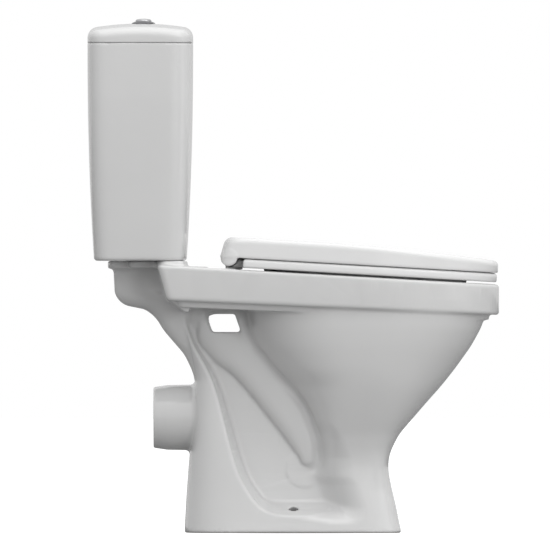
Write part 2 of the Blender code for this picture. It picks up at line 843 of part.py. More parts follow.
def make_buttons(chrome, plastic, steel):
    centre = (0.0, FLUSH_Y)
    bezel = CISTERN_LID_TOP_Z + GAP
    housing = turned(
        (
            (0, HOUSING_FLOOR_Z),
            (HOUSING_R, HOUSING_FLOOR_Z),
            (HOUSING_R, bezel),
            (0.0192, bezel),
            (0.0185, bezel + 0.0018),
            (BUTTON_R + 0.0012, bezel + 0.0030),
            (BUTTON_R + 0.0005, bezel + 0.0022),
            (BUTTON_R + 0.0005, HOUSING_FLOOR_Z + 0.003),
            (0, HOUSING_FLOOR_Z + 0.003),
        ),
        24,
        centre,
    )
    sleeve = add_object("button_housing", housing, chrome)
    add_object("button_nut", washer(HOUSING_R + GAP, 0.0250, 0.7950, 0.8027, 24, centre), plastic)
    for name, side in (("full", 1), ("half", -1)):
        at = (side * ROD_X, FLUSH_Y)
        rod_hole = disc(ROD_R + 0.0008, 0.77, 0.79, 12, at)
        cut(sleeve, add_object("housing_hole_" + name, rod_hole, plastic))
        make_button(name, side, chrome)
        rod = disc(ROD_R, ROD_BOTTOM_Z, 0.8000 - GAP, 12, at)
        add_object(name + "_flush_push_rod", rod, plastic)
        spring = coil(0.0038, 0.0004, HOUSING_FLOOR_Z + 0.003 + GAP, 0.8000 - GAP, 4, at)
        add_object(name + "_flush_spring", spring, steel)


def make_button(name, side, chrome):
    """Half of a domed round button, split along the middle."""
    dome = turned(
        (
            (0, 0.8000),
            (BUTTON_R, 0.8000),
            (BUTTON_R, BUTTON_TOP_Z - 0.0042),
            (BUTTON_R * 0.93, BUTTON_TOP_Z - 0.0024),
            (BUTTON_R * 0.70, BUTTON_TOP_Z - 0.0009),
            (BUTTON_R * 0.35, BUTTON_TOP_Z - 0.0002),
            (0, BUTTON_TOP_Z),
        ),
        32,
        (0.0, FLUSH_Y),
    )
    button = add_object(name + "_flush_button", dome, chrome)
    low, high = sorted((side * BUTTON_SPLIT, -side * 0.03))
    other_half = block((low, FLUSH_Y - 0.03, 0.79), (high, FLUSH_Y + 0.03, 0.83))
    cut(button, add_object(name + "_button_split", other_half, chrome))
    return button


# Seat ring, seat lid and hinges, built in the seat's frame


def seat_outline(inset, z, rear=0.0, count=32):
    """The seat's outline from above: the front is at -Y, the hinge axis at Y = 0."""
    return oval(
        -SEAT_FRONT + inset,
        rear - inset,
        SEAT_HALF_WIDTH - inset,
        z,
        middle=-SEAT_WIDEST,
        front_power=2.25,
        rear_power=REAR_SQUARENESS,
        count=count,
    )


def ring_hole(outset, z):
    """The outline of the hole in the seat ring, widened by outset."""
    return oval(
        RING_HOLE_FRONT - outset,
        RING_HOLE_REAR + outset,
        RING_HOLE_HALF_WIDTH + outset,
        z,
        middle=-0.2200,
        front_power=2.1,
        rear_power=2.2,
        count=32,
    )


def make_seat_ring(plastic):
    rings = [
        seat_outline(0.0035, RING_BOTTOM, -RING_REAR),
        seat_outline(0.0010, RING_BOTTOM + 0.0035, -RING_REAR),
        seat_outline(0.0010, RING_TOP - 0.0045, -RING_REAR),
        seat_outline(0.0055, RING_TOP, -RING_REAR),
        ring_hole(0.0090, RING_TOP + RING_CROWN),
        ring_hole(0.0035, RING_TOP + RING_CROWN - 0.0010),
        ring_hole(0.0, RING_TOP - 0.0040),
        ring_hole(0.0, RING_SKIRT),
        ring_hole(0.0030, RING_SKIRT),
        ring_hole(0.0045, RING_BOTTOM),
    ]
    ring = add_object("seat_ring", loft(rings, cyclic=True), plastic, SEAT_FRAME)
    plate_top = RIM_LEVEL + GAP + HINGE_PLATE
    for name, side in SIDES:
        low, high = sorted(side * x for x in LUG_X)
        arm_outline = (
            (-0.030, plate_top + 0.0008),
            (-0.030, RING_TOP - 0.001),
            (0.001, 0.0082),
            (0.001, plate_top + 0.0008),
        )
        arm = side_prism(arm_outline, low + 0.0005, high - 0.0005)
        barrel = cross_cylinder(0.0088, low, high)
        bore = cross_cylinder(PIN_R + GAP, low - 0.01, high + 0.01)
        fuse(
            ring,
            add_object("ring_arm_" + name, arm, plastic, SEAT_FRAME),
            add_object("ring_barrel_" + name, barrel, plastic, SEAT_FRAME),
        )
        cut(ring, add_object("ring_bore_" + name, bore, plastic, SEAT_FRAME))
    return ring


def lid_height(y):
    """Height of the seat lid's top along its length, falling away to the front."""
    fall = max(0.0, (-y - 0.150) / (SEAT_FRONT - 0.150))
    return SEAT_LID_TOP - (SEAT_LID_TOP - SEAT_LID_FRONT_TOP) * fall**1.7


def lid_rings(inset, drop):
    """Rings for the lid's crown. The inner crown is the outer one, inset and lowered."""
    crown = []
    for step_in, step_down in ((0.0, 0.0060), (0.0025, 0.0022), (0.0070, 0.0), (0.060, -0.0015)):
        outline = seat_outline(inset + step_in, 0.0, HOOK_R - 0.004)
        crown.append([(x, y, lid_height(y) - step_down - drop) for x, y, _ in outline])
    return crown


def make_seat_lid(plastic):
    skirt = [(x, y, SEAT_LID_BOTTOM) for x, y, _ in seat_outline(0.0, 0.0, HOOK_R - 0.002)]
    lid = add_object("seat_lid", loft([skirt] + lid_rings(0.0, 0.0)), plastic, SEAT_FRAME)
    inner_skirt = [
        (x, min(y, 0.008), SEAT_LID_BOTTOM - 0.02)
        for x, y, _ in seat_outline(SEAT_LID_WALL, 0.0, HOOK_R - 0.002)
    ]
    space = loft([inner_skirt] + lid_rings(SEAT_LID_WALL, SEAT_LID_WALL))
    inner = add_object("seat_lid_inside", space, plastic, SEAT_FRAME)
    reach = 0.170
    hook = cross_cylinder(HOOK_R, -reach, reach, sides=20)
    barrel = add_object("seat_lid_barrel", hook, plastic, SEAT_FRAME)
    cut(lid, inner)
    fuse(lid, barrel)
    for name, side in SIDES:
        low, high = sorted((side * (LUG_X[0] - 0.002), side * LID_BARREL_X))
        notch = block((low, -0.030, -0.030), (high, 0.030, 0.0115))
        bore_low, bore_high = sorted((side * 0.050, side * 0.1015))
        bore = cross_cylinder(PIN_R + GAP, bore_low, bore_high)
        cut(
            lid,
            add_object("lid_notch_" + name, notch, plastic, SEAT_FRAME),
            add_object("lid_bore_" + name, bore, plastic, SEAT_FRAME),
        )
    return lid


def make_hinges(plastic, steel, rubber):
    foot = RIM_LEVEL + GAP
    for name, side in SIDES:
        low, high = sorted(side * x for x in POST_X)
        plate_low, plate_high = sorted((side * 0.066, side * 0.092))
        base = add_object(
            "hinge_base_" + name,
            block((plate_low, -0.0225, foot), (plate_high, 0.0045, foot + HINGE_PLATE)),
            plastic,
            SEAT_FRAME,
        )
        post_outline = ((-0.0075, foot + 0.001), (-0.0085, 0.0), (0.0075, 0.0), (0.0042, foot + 0.001))
        post = side_prism(post_outline, low, high)
        head = cross_cylinder(0.0088, low, high)
        fuse(
            base,
            add_object("hinge_post_" + name, post, plastic, SEAT_FRAME),
            add_object("hinge_head_" + name, head, plastic, SEAT_FRAME),
        )
        bore = cross_cylinder(PIN_R + GAP, low - 0.01, high + 0.01)
        cut(base, add_object("hinge_bore_" + name, bore, plastic, SEAT_FRAME))
        bolt_x = (low + high) / 2
        bolt_hole = disc(0.0044, -0.03, 0.02, 16, (bolt_x, -HINGE_BOLT_FORWARD))
        cut(base, add_object("hinge_bolt_hole_" + name, bolt_hole, plastic, SEAT_FRAME))
        pin_low, pin_high = sorted((side * 0.0565, side * 0.1005))
        add_object("hinge_pin_" + name, cross_cylinder(PIN_R, pin_low, pin_high, sides=20), steel, SEAT_FRAME)
        make_hinge_fixings(name, bolt_x, steel, plastic, rubber)


def make_hinge_fixings(name, bolt_x, steel, plastic, rubber):
    """The bolt through the rim, and the washer and nut under it. They hang straight down from the hinge."""
    at = (bolt_x, HINGE_BOLT_FOOT.y)
    head = HINGE_BOLT_FOOT.z + HINGE_PLATE + 0.0010
    bolt = turned(
        (
            (0, 0.3860),
            (0.0036, 0.3860),
            (0.0040, 0.3880),
            (0.0040, head),
            (0.0060, head),
            (0.0052, head + 0.0016),
            (0, head + 0.002),
        ),
        16,
        at,
    )
    add_object("hinge_bolt_" + name, bolt, steel)
    under = POCKET_TOP_Z - GAP
    add_object("hinge_rubber_washer_" + name, washer(0.0043, 0.0125, under - 0.003, under, 20, at), rubber)
    make_wing_nut("hinge_wing_nut_" + name, plastic, at, under - 0.003 - GAP)


def make_buffers(rubber):
    """Feet under the seat ring that stand on the rim, and feet under the lid that stand on the ring."""
    foot = RIM_LEVEL + GAP
    ring_places = (("rear", -0.1345, 0.158, 0.016), ("front", -0.3220, 0.130, 0.024))
    for place, y, x, length in ring_places:
        for name, side in SIDES:
            low, high = sorted((side * (x - 0.005), side * (x + 0.005)))
            pad = block((low, y - length / 2, foot), (high, y + length / 2, RING_BOTTOM - GAP))
            add_object(f"ring_buffer_{place}_{name}", pad, rubber, SEAT_FRAME)
    for name, side in SIDES:
        y = -0.3300
        top = lid_height(y) - SEAT_LID_WALL - 0.0030
        pad = disc(0.0050, RING_TOP + RING_CROWN + GAP, top, 16, (side * 0.125, y))
        add_object("lid_buffer_" + name, pad, rubber, SEAT_FRAME)


def main():
    empty_scene()
    ceramic = make_material("glazed_ceramic", (0.80, 0.80, 0.80), 0.08)
    seat_plastic = make_material("seat_plastic", (0.82, 0.82, 0.82), 0.18)
    valve_plastic = make_material("valve_plastic", (0.78, 0.79, 0.80), 0.45)
    dark_plastic = make_material("dark_plastic", (0.10, 0.16, 0.30), 0.45)
    red_plastic = make_material("red_plastic", (0.55, 0.06, 0.05), 0.45)
    rubber = make_material("rubber", (0.05, 0.05, 0.05), 0.80)
    brass = make_material("brass", (0.70, 0.55, 0.28), 0.35, 1.0)
    steel = make_material("steel", (0.62, 0.62, 0.63), 0.30, 1.0)
    chrome = make_material("chrome", (0.75, 0.76, 0.78), 0.08, 1.0)
    make_pan(ceramic)
    make_cistern(ceramic)
    make_cistern_lid(ceramic)
    make_coupling(rubber, brass, steel, valve_plastic)
    make_flush_valve(valve_plastic, red_plastic, rubber)
    make_fill_valve(valve_plastic, dark_plastic, rubber)
    make_buttons(chrome, valve_plastic, steel)
    make_seat_ring(seat_plastic)
    make_seat_lid(seat_plastic)
    make_hinges(seat_plastic, steel, rubber)
    make_buffers(rubber)


main()
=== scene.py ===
"""Looks of the close coupled toilet: glazed ceramic, gloss seat plastic, and the studio it stands in.

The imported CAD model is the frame. The pan, the cistern, its lid, the seat, the push buttons and their
housing are made here as smooth solids. Each is a field of signed distances on a grid of cells, negative
inside, and its mesh is taken where the field is zero. The other parts keep the CAD's shapes, with their
edges rounded.

Metres, in the CAD's frame: the toilet faces -Y and the floor is Z = 0.
"""

import json
import math

import bmesh
import bpy
import numpy as np
import openvdb
from mathutils import Matrix, Vector

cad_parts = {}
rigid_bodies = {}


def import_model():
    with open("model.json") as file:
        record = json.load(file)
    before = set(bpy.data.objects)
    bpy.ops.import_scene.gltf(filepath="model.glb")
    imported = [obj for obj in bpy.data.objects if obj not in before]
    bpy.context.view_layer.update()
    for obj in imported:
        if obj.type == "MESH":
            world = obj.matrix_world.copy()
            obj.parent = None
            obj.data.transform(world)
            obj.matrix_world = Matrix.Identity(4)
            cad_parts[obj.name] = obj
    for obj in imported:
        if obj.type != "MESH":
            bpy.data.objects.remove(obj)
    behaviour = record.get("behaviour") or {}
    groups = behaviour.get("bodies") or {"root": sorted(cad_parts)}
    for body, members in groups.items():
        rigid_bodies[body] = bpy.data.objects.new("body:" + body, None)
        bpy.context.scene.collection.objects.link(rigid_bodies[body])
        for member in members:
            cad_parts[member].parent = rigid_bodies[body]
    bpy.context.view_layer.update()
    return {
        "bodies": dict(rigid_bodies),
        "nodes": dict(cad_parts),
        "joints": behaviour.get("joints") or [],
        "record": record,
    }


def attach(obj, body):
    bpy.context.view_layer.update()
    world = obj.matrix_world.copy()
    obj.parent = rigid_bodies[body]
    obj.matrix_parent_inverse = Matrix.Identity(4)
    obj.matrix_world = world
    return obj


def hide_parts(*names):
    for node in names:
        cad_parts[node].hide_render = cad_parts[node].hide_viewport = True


MOST_TRIANGLES = 190_000

# Overall sizes, as in the CAD.
DEPTH = 0.6576
FRONT_Y = -DEPTH / 2
BACK_Y = DEPTH / 2
RIM_FRONT_TOP_Z = 0.3965
RIM_SLOPE = 0.0573
RIM_TILT = math.atan(RIM_SLOPE)
RIM_HALF_WIDTH = 0.181
RIM_REAR_Y = 0.2176
RIM_DROP = 0.0488  # from the rim's top to its bottom, at the front
PLATFORM_TOP_Z = 0.4341
PLATFORM_BOTTOM_Z = 0.4235
CISTERN_BOTTOM_Z = 0.4344
CISTERN_TOP_Z = 0.7813
LID_TOP_Z = 0.8138
OUTLET_Z = 0.1838
OUTLET_END_Y = 0.224
OUTLET_R = 0.0485  # at its end
OUTLET_ROOT_R = 0.05175  # from OUTLET_TAPER before its end
OUTLET_TAPER = 0.022
OUTLET_BORE_R = 0.0405

# Places of the fixings, as (x, y), and the sizes of their holes.
COUPLING_BOLT = (0.081, 0.201)
SEAT_BOLT = (0.079, 0.0888)
FLOOR_SCREW = (0.082, 0.0)
FILL_VALVE = (0.128, 0.245)
FLUSH_Y = 0.240
BOLT_HOLE_R = 0.0060
SCREW_HOLE_R = 0.0072
FLUSH_HOLE_R = 0.0285
VALVE_HOLE_R = 0.0115
SCREW_HOLE_TOP_Z = 0.060

# Horizontal sections of the bowl and the front of the foot, as one form:
# height, front, rear, half width, squareness of the front, squareness of the rear.
BOWL = (
    (-0.010, -0.1725, 0.080, 0.1190, 5.5, 6.0),
    (0.003, -0.1722, 0.080, 0.1175, 5.5, 6.0),
    (0.016, -0.1688, 0.080, 0.1150, 5.5, 6.0),
    (0.042, -0.1640, 0.078, 0.1110, 5.3, 6.0),
    (0.068, -0.1576, 0.070, 0.1078, 5.0, 6.0),
    (0.093, -0.1526, -0.010, 0.1045, 4.8, 5.0),
    (0.106, -0.1514, -0.034, 0.1035, 4.6, 5.0),
    (0.119, -0.1524, -0.040, 0.1040, 4.4, 5.0),
    (0.132, -0.1560, -0.040, 0.1060, 4.1, 4.6),
    (0.157, -0.1688, -0.036, 0.1130, 3.6, 4.0),
    (0.183, -0.1912, -0.029, 0.1240, 3.1, 3.4),
    (0.209, -0.2136, -0.015, 0.1345, 2.8, 3.0),
    (0.234, -0.2360, 0.006, 0.1440, 2.6, 2.5),
    (0.260, -0.2568, 0.034, 0.1520, 2.5, 2.5),
    (0.298, -0.2840, 0.064, 0.1610, 2.5, 2.5),
    (0.327, -0.3000, 0.076, 0.1660, 2.5, 2.6),
    (0.362, -0.3120, 0.082, 0.1690, 2.5, 2.8),
    (0.380, -0.3150, 0.084, 0.1700, 2.5, 2.8),
)

# The rear of the foot, whose side is the skin round the recess, in the same form.
FOOT = (
    (-0.010, -0.060, 0.1745, 0.1190, 6.0, 3.1),
    (0.003, -0.060, 0.1740, 0.1175, 6.0, 3.1),
    (0.016, -0.060, 0.1735, 0.1150, 6.0, 3.1),
    (0.055, -0.060, 0.1715, 0.1095, 6.0, 3.1),
    (0.106, -0.060, 0.1680, 0.1040, 6.0, 3.2),
    (0.150, -0.060, 0.1640, 0.0985, 6.0, 3.4),
    (0.200, -0.060, 0.1600, 0.0880, 6.0, 4.0),
    (0.247, -0.050, 0.1575, 0.0780, 6.0, 5.0),
    (0.265, -0.030, 0.1595, 0.0750, 6.0, 6.0),
    (0.283, -0.010, 0.1640, 0.0720, 6.0, 7.0),
    (0.305, 0.010, 0.1690, 0.0690, 6.0, 8.0),
    (0.325, 0.030, 0.1740, 0.0670, 6.0, 8.0),
    (0.345, 0.040, 0.1785, 0.0650, 6.0, 8.0),
    (0.380, 0.040, 0.1850, 0.0620, 6.0, 8.0),
)

# The neck that carries the flush chamber, in the same form.
NECK = (
    (0.180, 0.060, 0.1350, 0.0480, 3.0, 4.0),
    (0.235, 0.070, 0.1520, 0.0490, 3.0, 4.0),
    (0.247, 0.075, 0.1576, 0.0490, 3.0, 4.0),
    (0.260, 0.080, 0.1625, 0.0500, 3.0, 4.0),
    (0.285, 0.085, 0.1745, 0.0510, 3.0, 4.0),
    (0.298, 0.090, 0.1860, 0.0520, 3.0, 4.0),
    (0.324, 0.090, 0.2085, 0.0540, 3.0, 4.0),
    (0.346, 0.090, 0.2210, 0.0560, 3.0, 4.0),
    (0.390, 0.090, 0.2350, 0.0580, 3.0, 4.0),
)

# The basin's inside, in the same form.
BASIN = (
    (0.150, -0.088, -0.040, 0.0300, 2.3, 2.3),
    (0.180, -0.122, -0.037, 0.0500, 2.3, 2.3),
    (0.215, -0.166, -0.032, 0.0740, 2.3, 2.3),
    (0.260, -0.214, -0.004, 0.0970, 2.3, 2.3),
    (0.310, -0.254, 0.034, 0.1140, 2.3, 2.3),
    (0.350, -0.282, 0.056, 0.1230, 2.3, 2.3),
    (0.385, -0.291, 0.064, 0.1250, 2.3, 2.3),
    (0.450, -0.293, 0.066, 0.1250, 2.3, 2.3),
)
BASIN_WALL = 0.011
MOUTH = (-0.283, 0.058, 0.117)  # of the basin through the rim: front, rear, half width
FOOT_WALL = 0.012
FOOT_HOLLOW_Z = 0.030
TRAP_BORE_R = 0.026
SUMP_BORE_R = 0.028
SUMP_PATH = ((-0.040, 0.150), (-0.062, 0.170), (-0.075, 0.215))

# Trapway bulge in the plane X = 0: y, z, radius in the plane, half width.
TRAP = (
    (0.1180, 0.3180, 0.0420, 0.0560),
    (0.1016, 0.2970, 0.0390, 0.0580),
    (0.0740, 0.2690, 0.0325, 0.0610),
    (0.0387, 0.2280, 0.0325, 0.0640),
    (0.0097, 0.1930, 0.0340, 0.0665),
    (-0.0120, 0.1560, 0.0290, 0.0680),
    (-0.0210, 0.1300, 0.0205, 0.0680),
    (-0.0225, 0.1185, 0.0165, 0.0670),
)

# Edge of the side recess in the plane X = 0, as (y, z).
RECESS = (
    (0.1860, 0.3900),
    (0.1768, 0.3419),
    (0.1704, 0.3189),
    (0.1608, 0.2965),
    (0.1448, 0.2700),
    (0.1288, 0.2350),
    (0.1149, 0.1860),
    (0.1016, 0.1340),
    (0.0888, 0.0949),
    (0.0744, 0.0677),
    (0.0568, 0.0447),
    (0.0360, 0.0315),
    (0.0100, 0.0240),
    (-0.0300, 0.0210),
    (-0.2300, 0.0200),
    (-0.2500, 0.0400),
    (-0.2500, 0.3000),
    (-0.1000, 0.3400),
    (0.0400, 0.3900),
)
RECESS_DRAFT = 0.30
# The floor rises to the front. Height with the start of the rise, and height with its slope.
RECESS_FRONT = (
    ((0.040, -0.055), (0.077, -0.045), (0.089, -0.038), (0.120, -0.034), (0.150, -0.030), (0.190, -0.022)),
    ((0.040, 1.15), (0.077, 1.25), (0.089, 1.25), (0.120, 1.30), (0.150, 1.90), (0.190, 3.40)),
)
# Height, and distance of the recess's floor from the middle plane.
RECESS_FLOOR = ((0.04, 0.066), (0.05, 0.064), (0.10, 0.058), (0.16, 0.051), (0.25, 0.043), (0.30, 0.040))
RECESS_FRONT_TOP_Z = 0.185
LEDGE_Z = 0.029  # of the ledge round the floor screw, at LEDGE_X
LEDGE_X = 0.110
LEDGE_SLOPE = 0.33
PAD = (-0.017, 0.1015, 0.029, 0.0016)  # the round pad in the recess: y, z, radius, height
# The window through the web, as (y, z).
WINDOW = ((0.1405, 0.3493), (0.0940, 0.3493), (0.0840, 0.3205), (0.1292, 0.3205))

# The cistern's front, back and half width, at its bottom and at its top.
CISTERN_FOOT = (0.1712, 0.3184, 0.172)
CISTERN_HEAD = (0.1608, BACK_Y, 0.185)
CISTERN_BOW = 2.2
CISTERN_WALL = 0.009
CISTERN_FLOOR = 0.012

# The cistern's lid. Its lip hangs inside the cistern.
LID_MIDDLE_Y = 0.2448
LID_HALF_DEPTH = 0.084
LID_HALF_WIDTH = 0.185
LID_CROWN = 0.0078
LID_EDGE_R = 0.0135
LID_THICKNESS = 0.0098
LID_HOLLOW_INSET = 0.0200
LIP_INSET = 0.0135
LIP_DEPTH = 0.012

# The seat's frame, which lies on the hinge axis and tilts with the rim.
HINGE_AXIS = Vector((0.0, 0.1032, 0.4400))
SEAT_FRAME = Matrix.Translation(HINGE_AXIS) @ Matrix.Rotation(RIM_TILT, 4, "X")
SEAT_FRONT = 0.4308
SEAT_HALF_WIDTH = 0.1815
SEAT_WIDEST = 0.205
RING_REAR = 0.0230
RING_BOTTOM = -0.0157
RING_TOP = -0.0014
RING_CROWN = 0.0018
RING_SKIRT = -0.0224
RING_HOLE = (-0.3780, -0.0605, 0.1080)  # front, rear, half width
RING_WALL = 0.0045
SEAT_LID_BOTTOM = -0.0003
SEAT_LID_TOP = 0.0322
SEAT_LID_FRONT_TOP = 0.0185
SEAT_LID_WALL = 0.0042
HOOK_R = 0.0140
HOOK_CLEAR_R = 0.0152
BARREL_R = 0.0088
PIN_BORE_R = 0.0043
PLATE_TOP = -0.0147  # of the hinges' feet

# The push buttons and the sleeve that they slide in.
BUTTON_TOP_Z = 0.8218
BUTTON_BOTTOM_Z = 0.8000
BUTTON_R = 0.0128
BUTTON_DOME = 0.0016
BUTTON_GAP = 0.0004
SLEEVE_R = 0.0150
SLEEVE_BOTTOM_Z = 0.7800
SLEEVE_FLOOR_Z = 0.7830
SLEEVE_HOLE_R = 0.0162
BEZEL_R = 0.0192
BEZEL_TOP_Z = 0.8171
ROD_X = 0.0070
ROD_HOLE_R = 0.0028

# Nodes that are made anew here. The others keep the CAD's shape.
REMADE = (
    "pan",
    "cistern",
    "cistern_lid",
    "seat_ring",
    "seat_lid",
    "button_housing",
    "full_flush_button",
    "half_flush_button",
)
SHARP_ANGLE = math.radians(35)
EDGE_RADIUS = 0.0004

# The studio. Each light has its place, width, height and power in watts.
LIGHTS = (
    ("key", (-2.4, -2.6, 2.8), 2.4, 2.4, 20.0),
    ("top", (-0.9, -0.2, 3.4), 3.0, 3.0, 20.0),
    ("front", (-4.0, -1.8, 0.6), 2.0, 1.0, 41.0),
    ("nose", (-1.2, -4.0, 1.0), 2.0, 2.0, 5.0),
)
# These fill the shadows and leave no bright patch in the gloss.
SOFT_LIGHTS = ("front",)
LIGHTS_AIM = (0, 0, 0.40)
# Strength of the light from the sky, low down and overhead.
SKY = (1.000, 1.500)
# What the gloss mirrors, at the horizon and overhead.
MIRRORED_SKY = (0.75, 1.50)
CAMERA_DISTANCE = 38.0
VIEW_WIDTH = 0.880
VIEW_MIDDLE = (0.0296, 0.4117)  # y, z
FLOOR_HALF_WIDTH = 30.0
FOOT_HALVES = (0.095, 0.140)  # of the dark place under the foot


# Fields of signed distance


class Cells:
    """A box of cells. From X = 0 it is half a symmetric form, which is mirrored when meshed."""

    def __init__(self, low, high, size):
        self.size = size
        self.low = np.array(low)
        axes = [np.arange(a, b + size, size, dtype=np.float32) for a, b in zip(low, high)]
        self.x = axes[0][:, None, None]
        self.y = axes[1][None, :, None]
        self.z = axes[2][None, None, :]


def as_distance(value, size):
    """Scales a field so that it rises by one metre in a metre near its zero."""
    axes = [axis for axis, count in enumerate(value.shape) if count > 1]
    steepness = np.sqrt(sum(np.gradient(value, size, axis=axis) ** 2 for axis in axes))
    return value / np.maximum(steepness, 1e-3)


def unite(a, b, radius):
    """Both forms as one, with a fillet of this radius where they meet."""
    corner = np.hypot(np.maximum(radius - a, 0), np.maximum(radius - b, 0))
    return np.maximum(radius, np.minimum(a, b)) - corner


def meet(a, b, radius):
    """What two forms share, with its edge rounded to this radius."""
    return -unite(-a, -b, radius)


def carve(a, b, radius):
    return meet(a, -b, radius)


def along_height(z, table, column, blur=0.014, step=0.001):
    """One column of a table as a smooth function of height."""
    heights = [row[0] for row in table]
    fine = np.arange(z.min() - 0.03, z.max() + 0.03, step)
    line = np.interp(fine, heights, [row[column] for row in table])
    width = int(blur / step)
    kernel = np.hanning(2 * width + 3)
    line = np.convolve(np.pad(line, width + 1, mode="edge"), kernel / kernel.sum(), mode="valid")
    return np.interp(z, fine, line).astype(np.float32)


def oval_field(cells, front, rear, half, front_power, rear_power, middle=None):
    """An upright form whose sections are superellipses. Each size is a number or varies with height."""
    if middle is None:
        middle = (front + rear) / 2
    ahead = cells.y < middle
    along = np.abs(cells.y - middle) / np.where(ahead, middle - front, rear - middle)
    power = np.where(ahead, front_power, rear_power).astype(np.float32)
    value = (cells.x / half + 1e-6) ** power + along.astype(np.float32) ** power
    return as_distance(value ** (1 / power) - 1, cells.size)


def section_field(cells, table, blur=0.014):
    sizes = [along_height(cells.z, table, column, blur) for column in range(1, 6)]
    return oval_field(cells, *sizes)


def outline_field(cells, outline):
    """Distance from a closed outline in the plane X = 0, whatever X is."""
    y, z = cells.y[0], cells.z[0]
    nearest, inside = np.inf, False
    for (ay, az), (by, bz) in zip(outline, outline[1:] + outline[:1]):
        ey, ez = by - ay, bz - az
        t = np.clip(((y - ay) * ey + (z - az) * ez) / (ey * ey + ez * ez), 0, 1)
        nearest = np.minimum(nearest, np.hypot(y - ay - t * ey, z - az - t * ez))
        level = (az <= z) != (bz <= z)
        inside = inside ^ (level & (y < ay + (z - az) / (ez if ez else 1.0) * ey))
    return np.where(inside, -nearest, nearest)[None].astype(np.float32)


def smooth_line(points, closed=False, steps=5):
    """Points along a Catmull-Rom curve through the given ones, with all their numbers."""
    rows = np.array(points, float)
    if closed:
        padded = np.concatenate([rows[-1:], rows, rows[:2]])
    else:
        padded = np.concatenate([2 * rows[:1] - rows[1:2], rows, 2 * rows[-1:] - rows[-2:-1]])
    line = []
    for a, b, c, d in zip(padded, padded[1:], padded[2:], padded[3:]):
        for t in np.arange(steps) / steps:
            bend = 2 * a - 5 * b + 4 * c - d
            turn = 3 * b - a - 3 * c + d
            line.append(0.5 * (2 * b + (c - a) * t + bend * t**2 + turn * t**3))
    if not closed:
        line.append(rows[-1])
    return [tuple(point) for point in line]


def path_field(cells, path, power=2.0):
    """A bar along a path in the plane X = 0. Each point has y, z, a radius in the plane and a half width."""
    y, z = cells.y[0], cells.z[0]
    nearest = np.full(np.broadcast(y, z).shape, np.inf, np.float32)
    radius, half = np.ones_like(nearest), np.ones_like(nearest)
    for (ay, az, ar, ah), (by, bz, br, bh) in zip(path, path[1:]):
        ey, ez = by - ay, bz - az
        t = np.clip(((y - ay) * ey + (z - az) * ez) / (ey * ey + ez * ez), 0, 1)
        share = np.hypot(y - ay - t * ey, z - az - t * ez) / (ar + t * (br - ar))
        closer = share < nearest
        nearest = np.where(closer, share, nearest)
        radius = np.where(closer, ar + t * (br - ar), radius)
        half = np.where(closer, ah + t * (bh - ah), half)
    value = (cells.x / half[None]) ** power + nearest[None] ** power
    return as_distance(value.astype(np.float32) ** (1 / power) - 1, cells.size)


def block_field(cells, low, high, radius):
    """A box with rounded edges, on the +X side or right across."""
    outside, inside = 0, -np.inf
    for axis, a, b in zip((cells.x, cells.y, cells.z), low, high):
        gap = np.abs(axis - (a + b) / 2) - (b - a) / 2 + radius
        outside = outside + np.maximum(gap, 0) ** 2
        inside = np.maximum(inside, gap)
    return np.sqrt(outside) + np.minimum(inside, 0) - radius


def post_field(cells, x, y, radius):
    return np.hypot(cells.x - x, cells.y - y) - radius


def mirrored(half):
    """The field on both sides of X = 0."""
    return np.concatenate([half[:0:-1], half])


# Meshes


def sampled(field, places):
    """The field's value at each place, which is given in cells from its corner."""
    base = np.clip(np.floor(places).astype(int), 0, np.array(field.shape) - 2)
    part = places - base
    total = 0
    for corner in np.ndindex(2, 2, 2):
        weight = np.prod(np.where(corner, part, 1 - part), axis=1)
        total = total + weight * field[tuple((base + corner).T)]
    return total


def settled(field, places, rounds=2):
    """Moves each place along the field's slope to where the field is zero."""
    slopes = np.gradient(field)
    for _ in range(rounds):
        slope = np.stack([sampled(side, places) for side in slopes], axis=1)
        steepness = np.maximum((slope**2).sum(axis=1), 1e-9)
        move = (sampled(field, places) / steepness)[:, None] * slope
        places = places - np.clip(move, -0.5, 0.5)
    return places


def solid(name, cells, field):
    """One closed mesh object where the field is zero."""
    low = cells.low.copy()
    size = cells.size
    field = np.clip(field, -4 * size, 4 * size).astype(np.float32)
    if low[0] == 0:
        field = mirrored(field)
        low[0] = -(cells.x.size - 1) * size
    grid = openvdb.FloatGrid(background=4 * size)
    grid.copyFromArray(np.ascontiguousarray(field))
    places, quads = grid.convertToQuads(0.0)
    points = settled(field / size, places.astype(float)) * size + low
    mesh = bpy.data.meshes.new(name)
    mesh.from_pydata(points.tolist(), [], quads.tolist())
    mesh.shade_smooth()
    mesh.validate()
    obj = bpy.data.objects.new(name, mesh)
    bpy.context.scene.collection.objects.link(obj)
    triangles = 2 * len(quads)
    if triangles > MOST_TRIANGLES:
        thin = obj.modifiers.new("thin", "DECIMATE")
        thin.ratio = MOST_TRIANGLES / triangles
    return obj


def stand_for(obj, body, *nodes, slot, material, frame=None):
    """Puts a piece in the place of CAD nodes."""
    if frame is not None:
        obj.matrix_world = frame
    obj.data.materials.append(material)
    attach(obj, body)
    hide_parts(*nodes)


# Pan


def rim_top(y):
    return RIM_FRONT_TOP_Z + RIM_SLOPE * (y - FRONT_Y)


def rim_field(cells, inset, top, bottom, edge):
    """A slab with the rim's outline, whose top and bottom are given as drops below the rim's top."""
    drop = rim_top(cells.y) - cells.z
    rear = (cells.y - (RIM_REAR_Y - inset - 0.28 * drop)) * 0.96
    front = FRONT_Y + inset
    half = RIM_HALF_WIDTH - inset - 0.09 * np.maximum(drop, 0)
    sides = oval_field(cells, front, 0.270, half, 2.25, 14.0, middle=-0.100)
    outline = meet(sides, rear, 0.010)
    deepen = 1 + 0.18 * (cells.y - FRONT_Y) / DEPTH
    slab = meet(top - drop, drop / deepen - bottom, edge)
    return meet(outline, slab, edge)


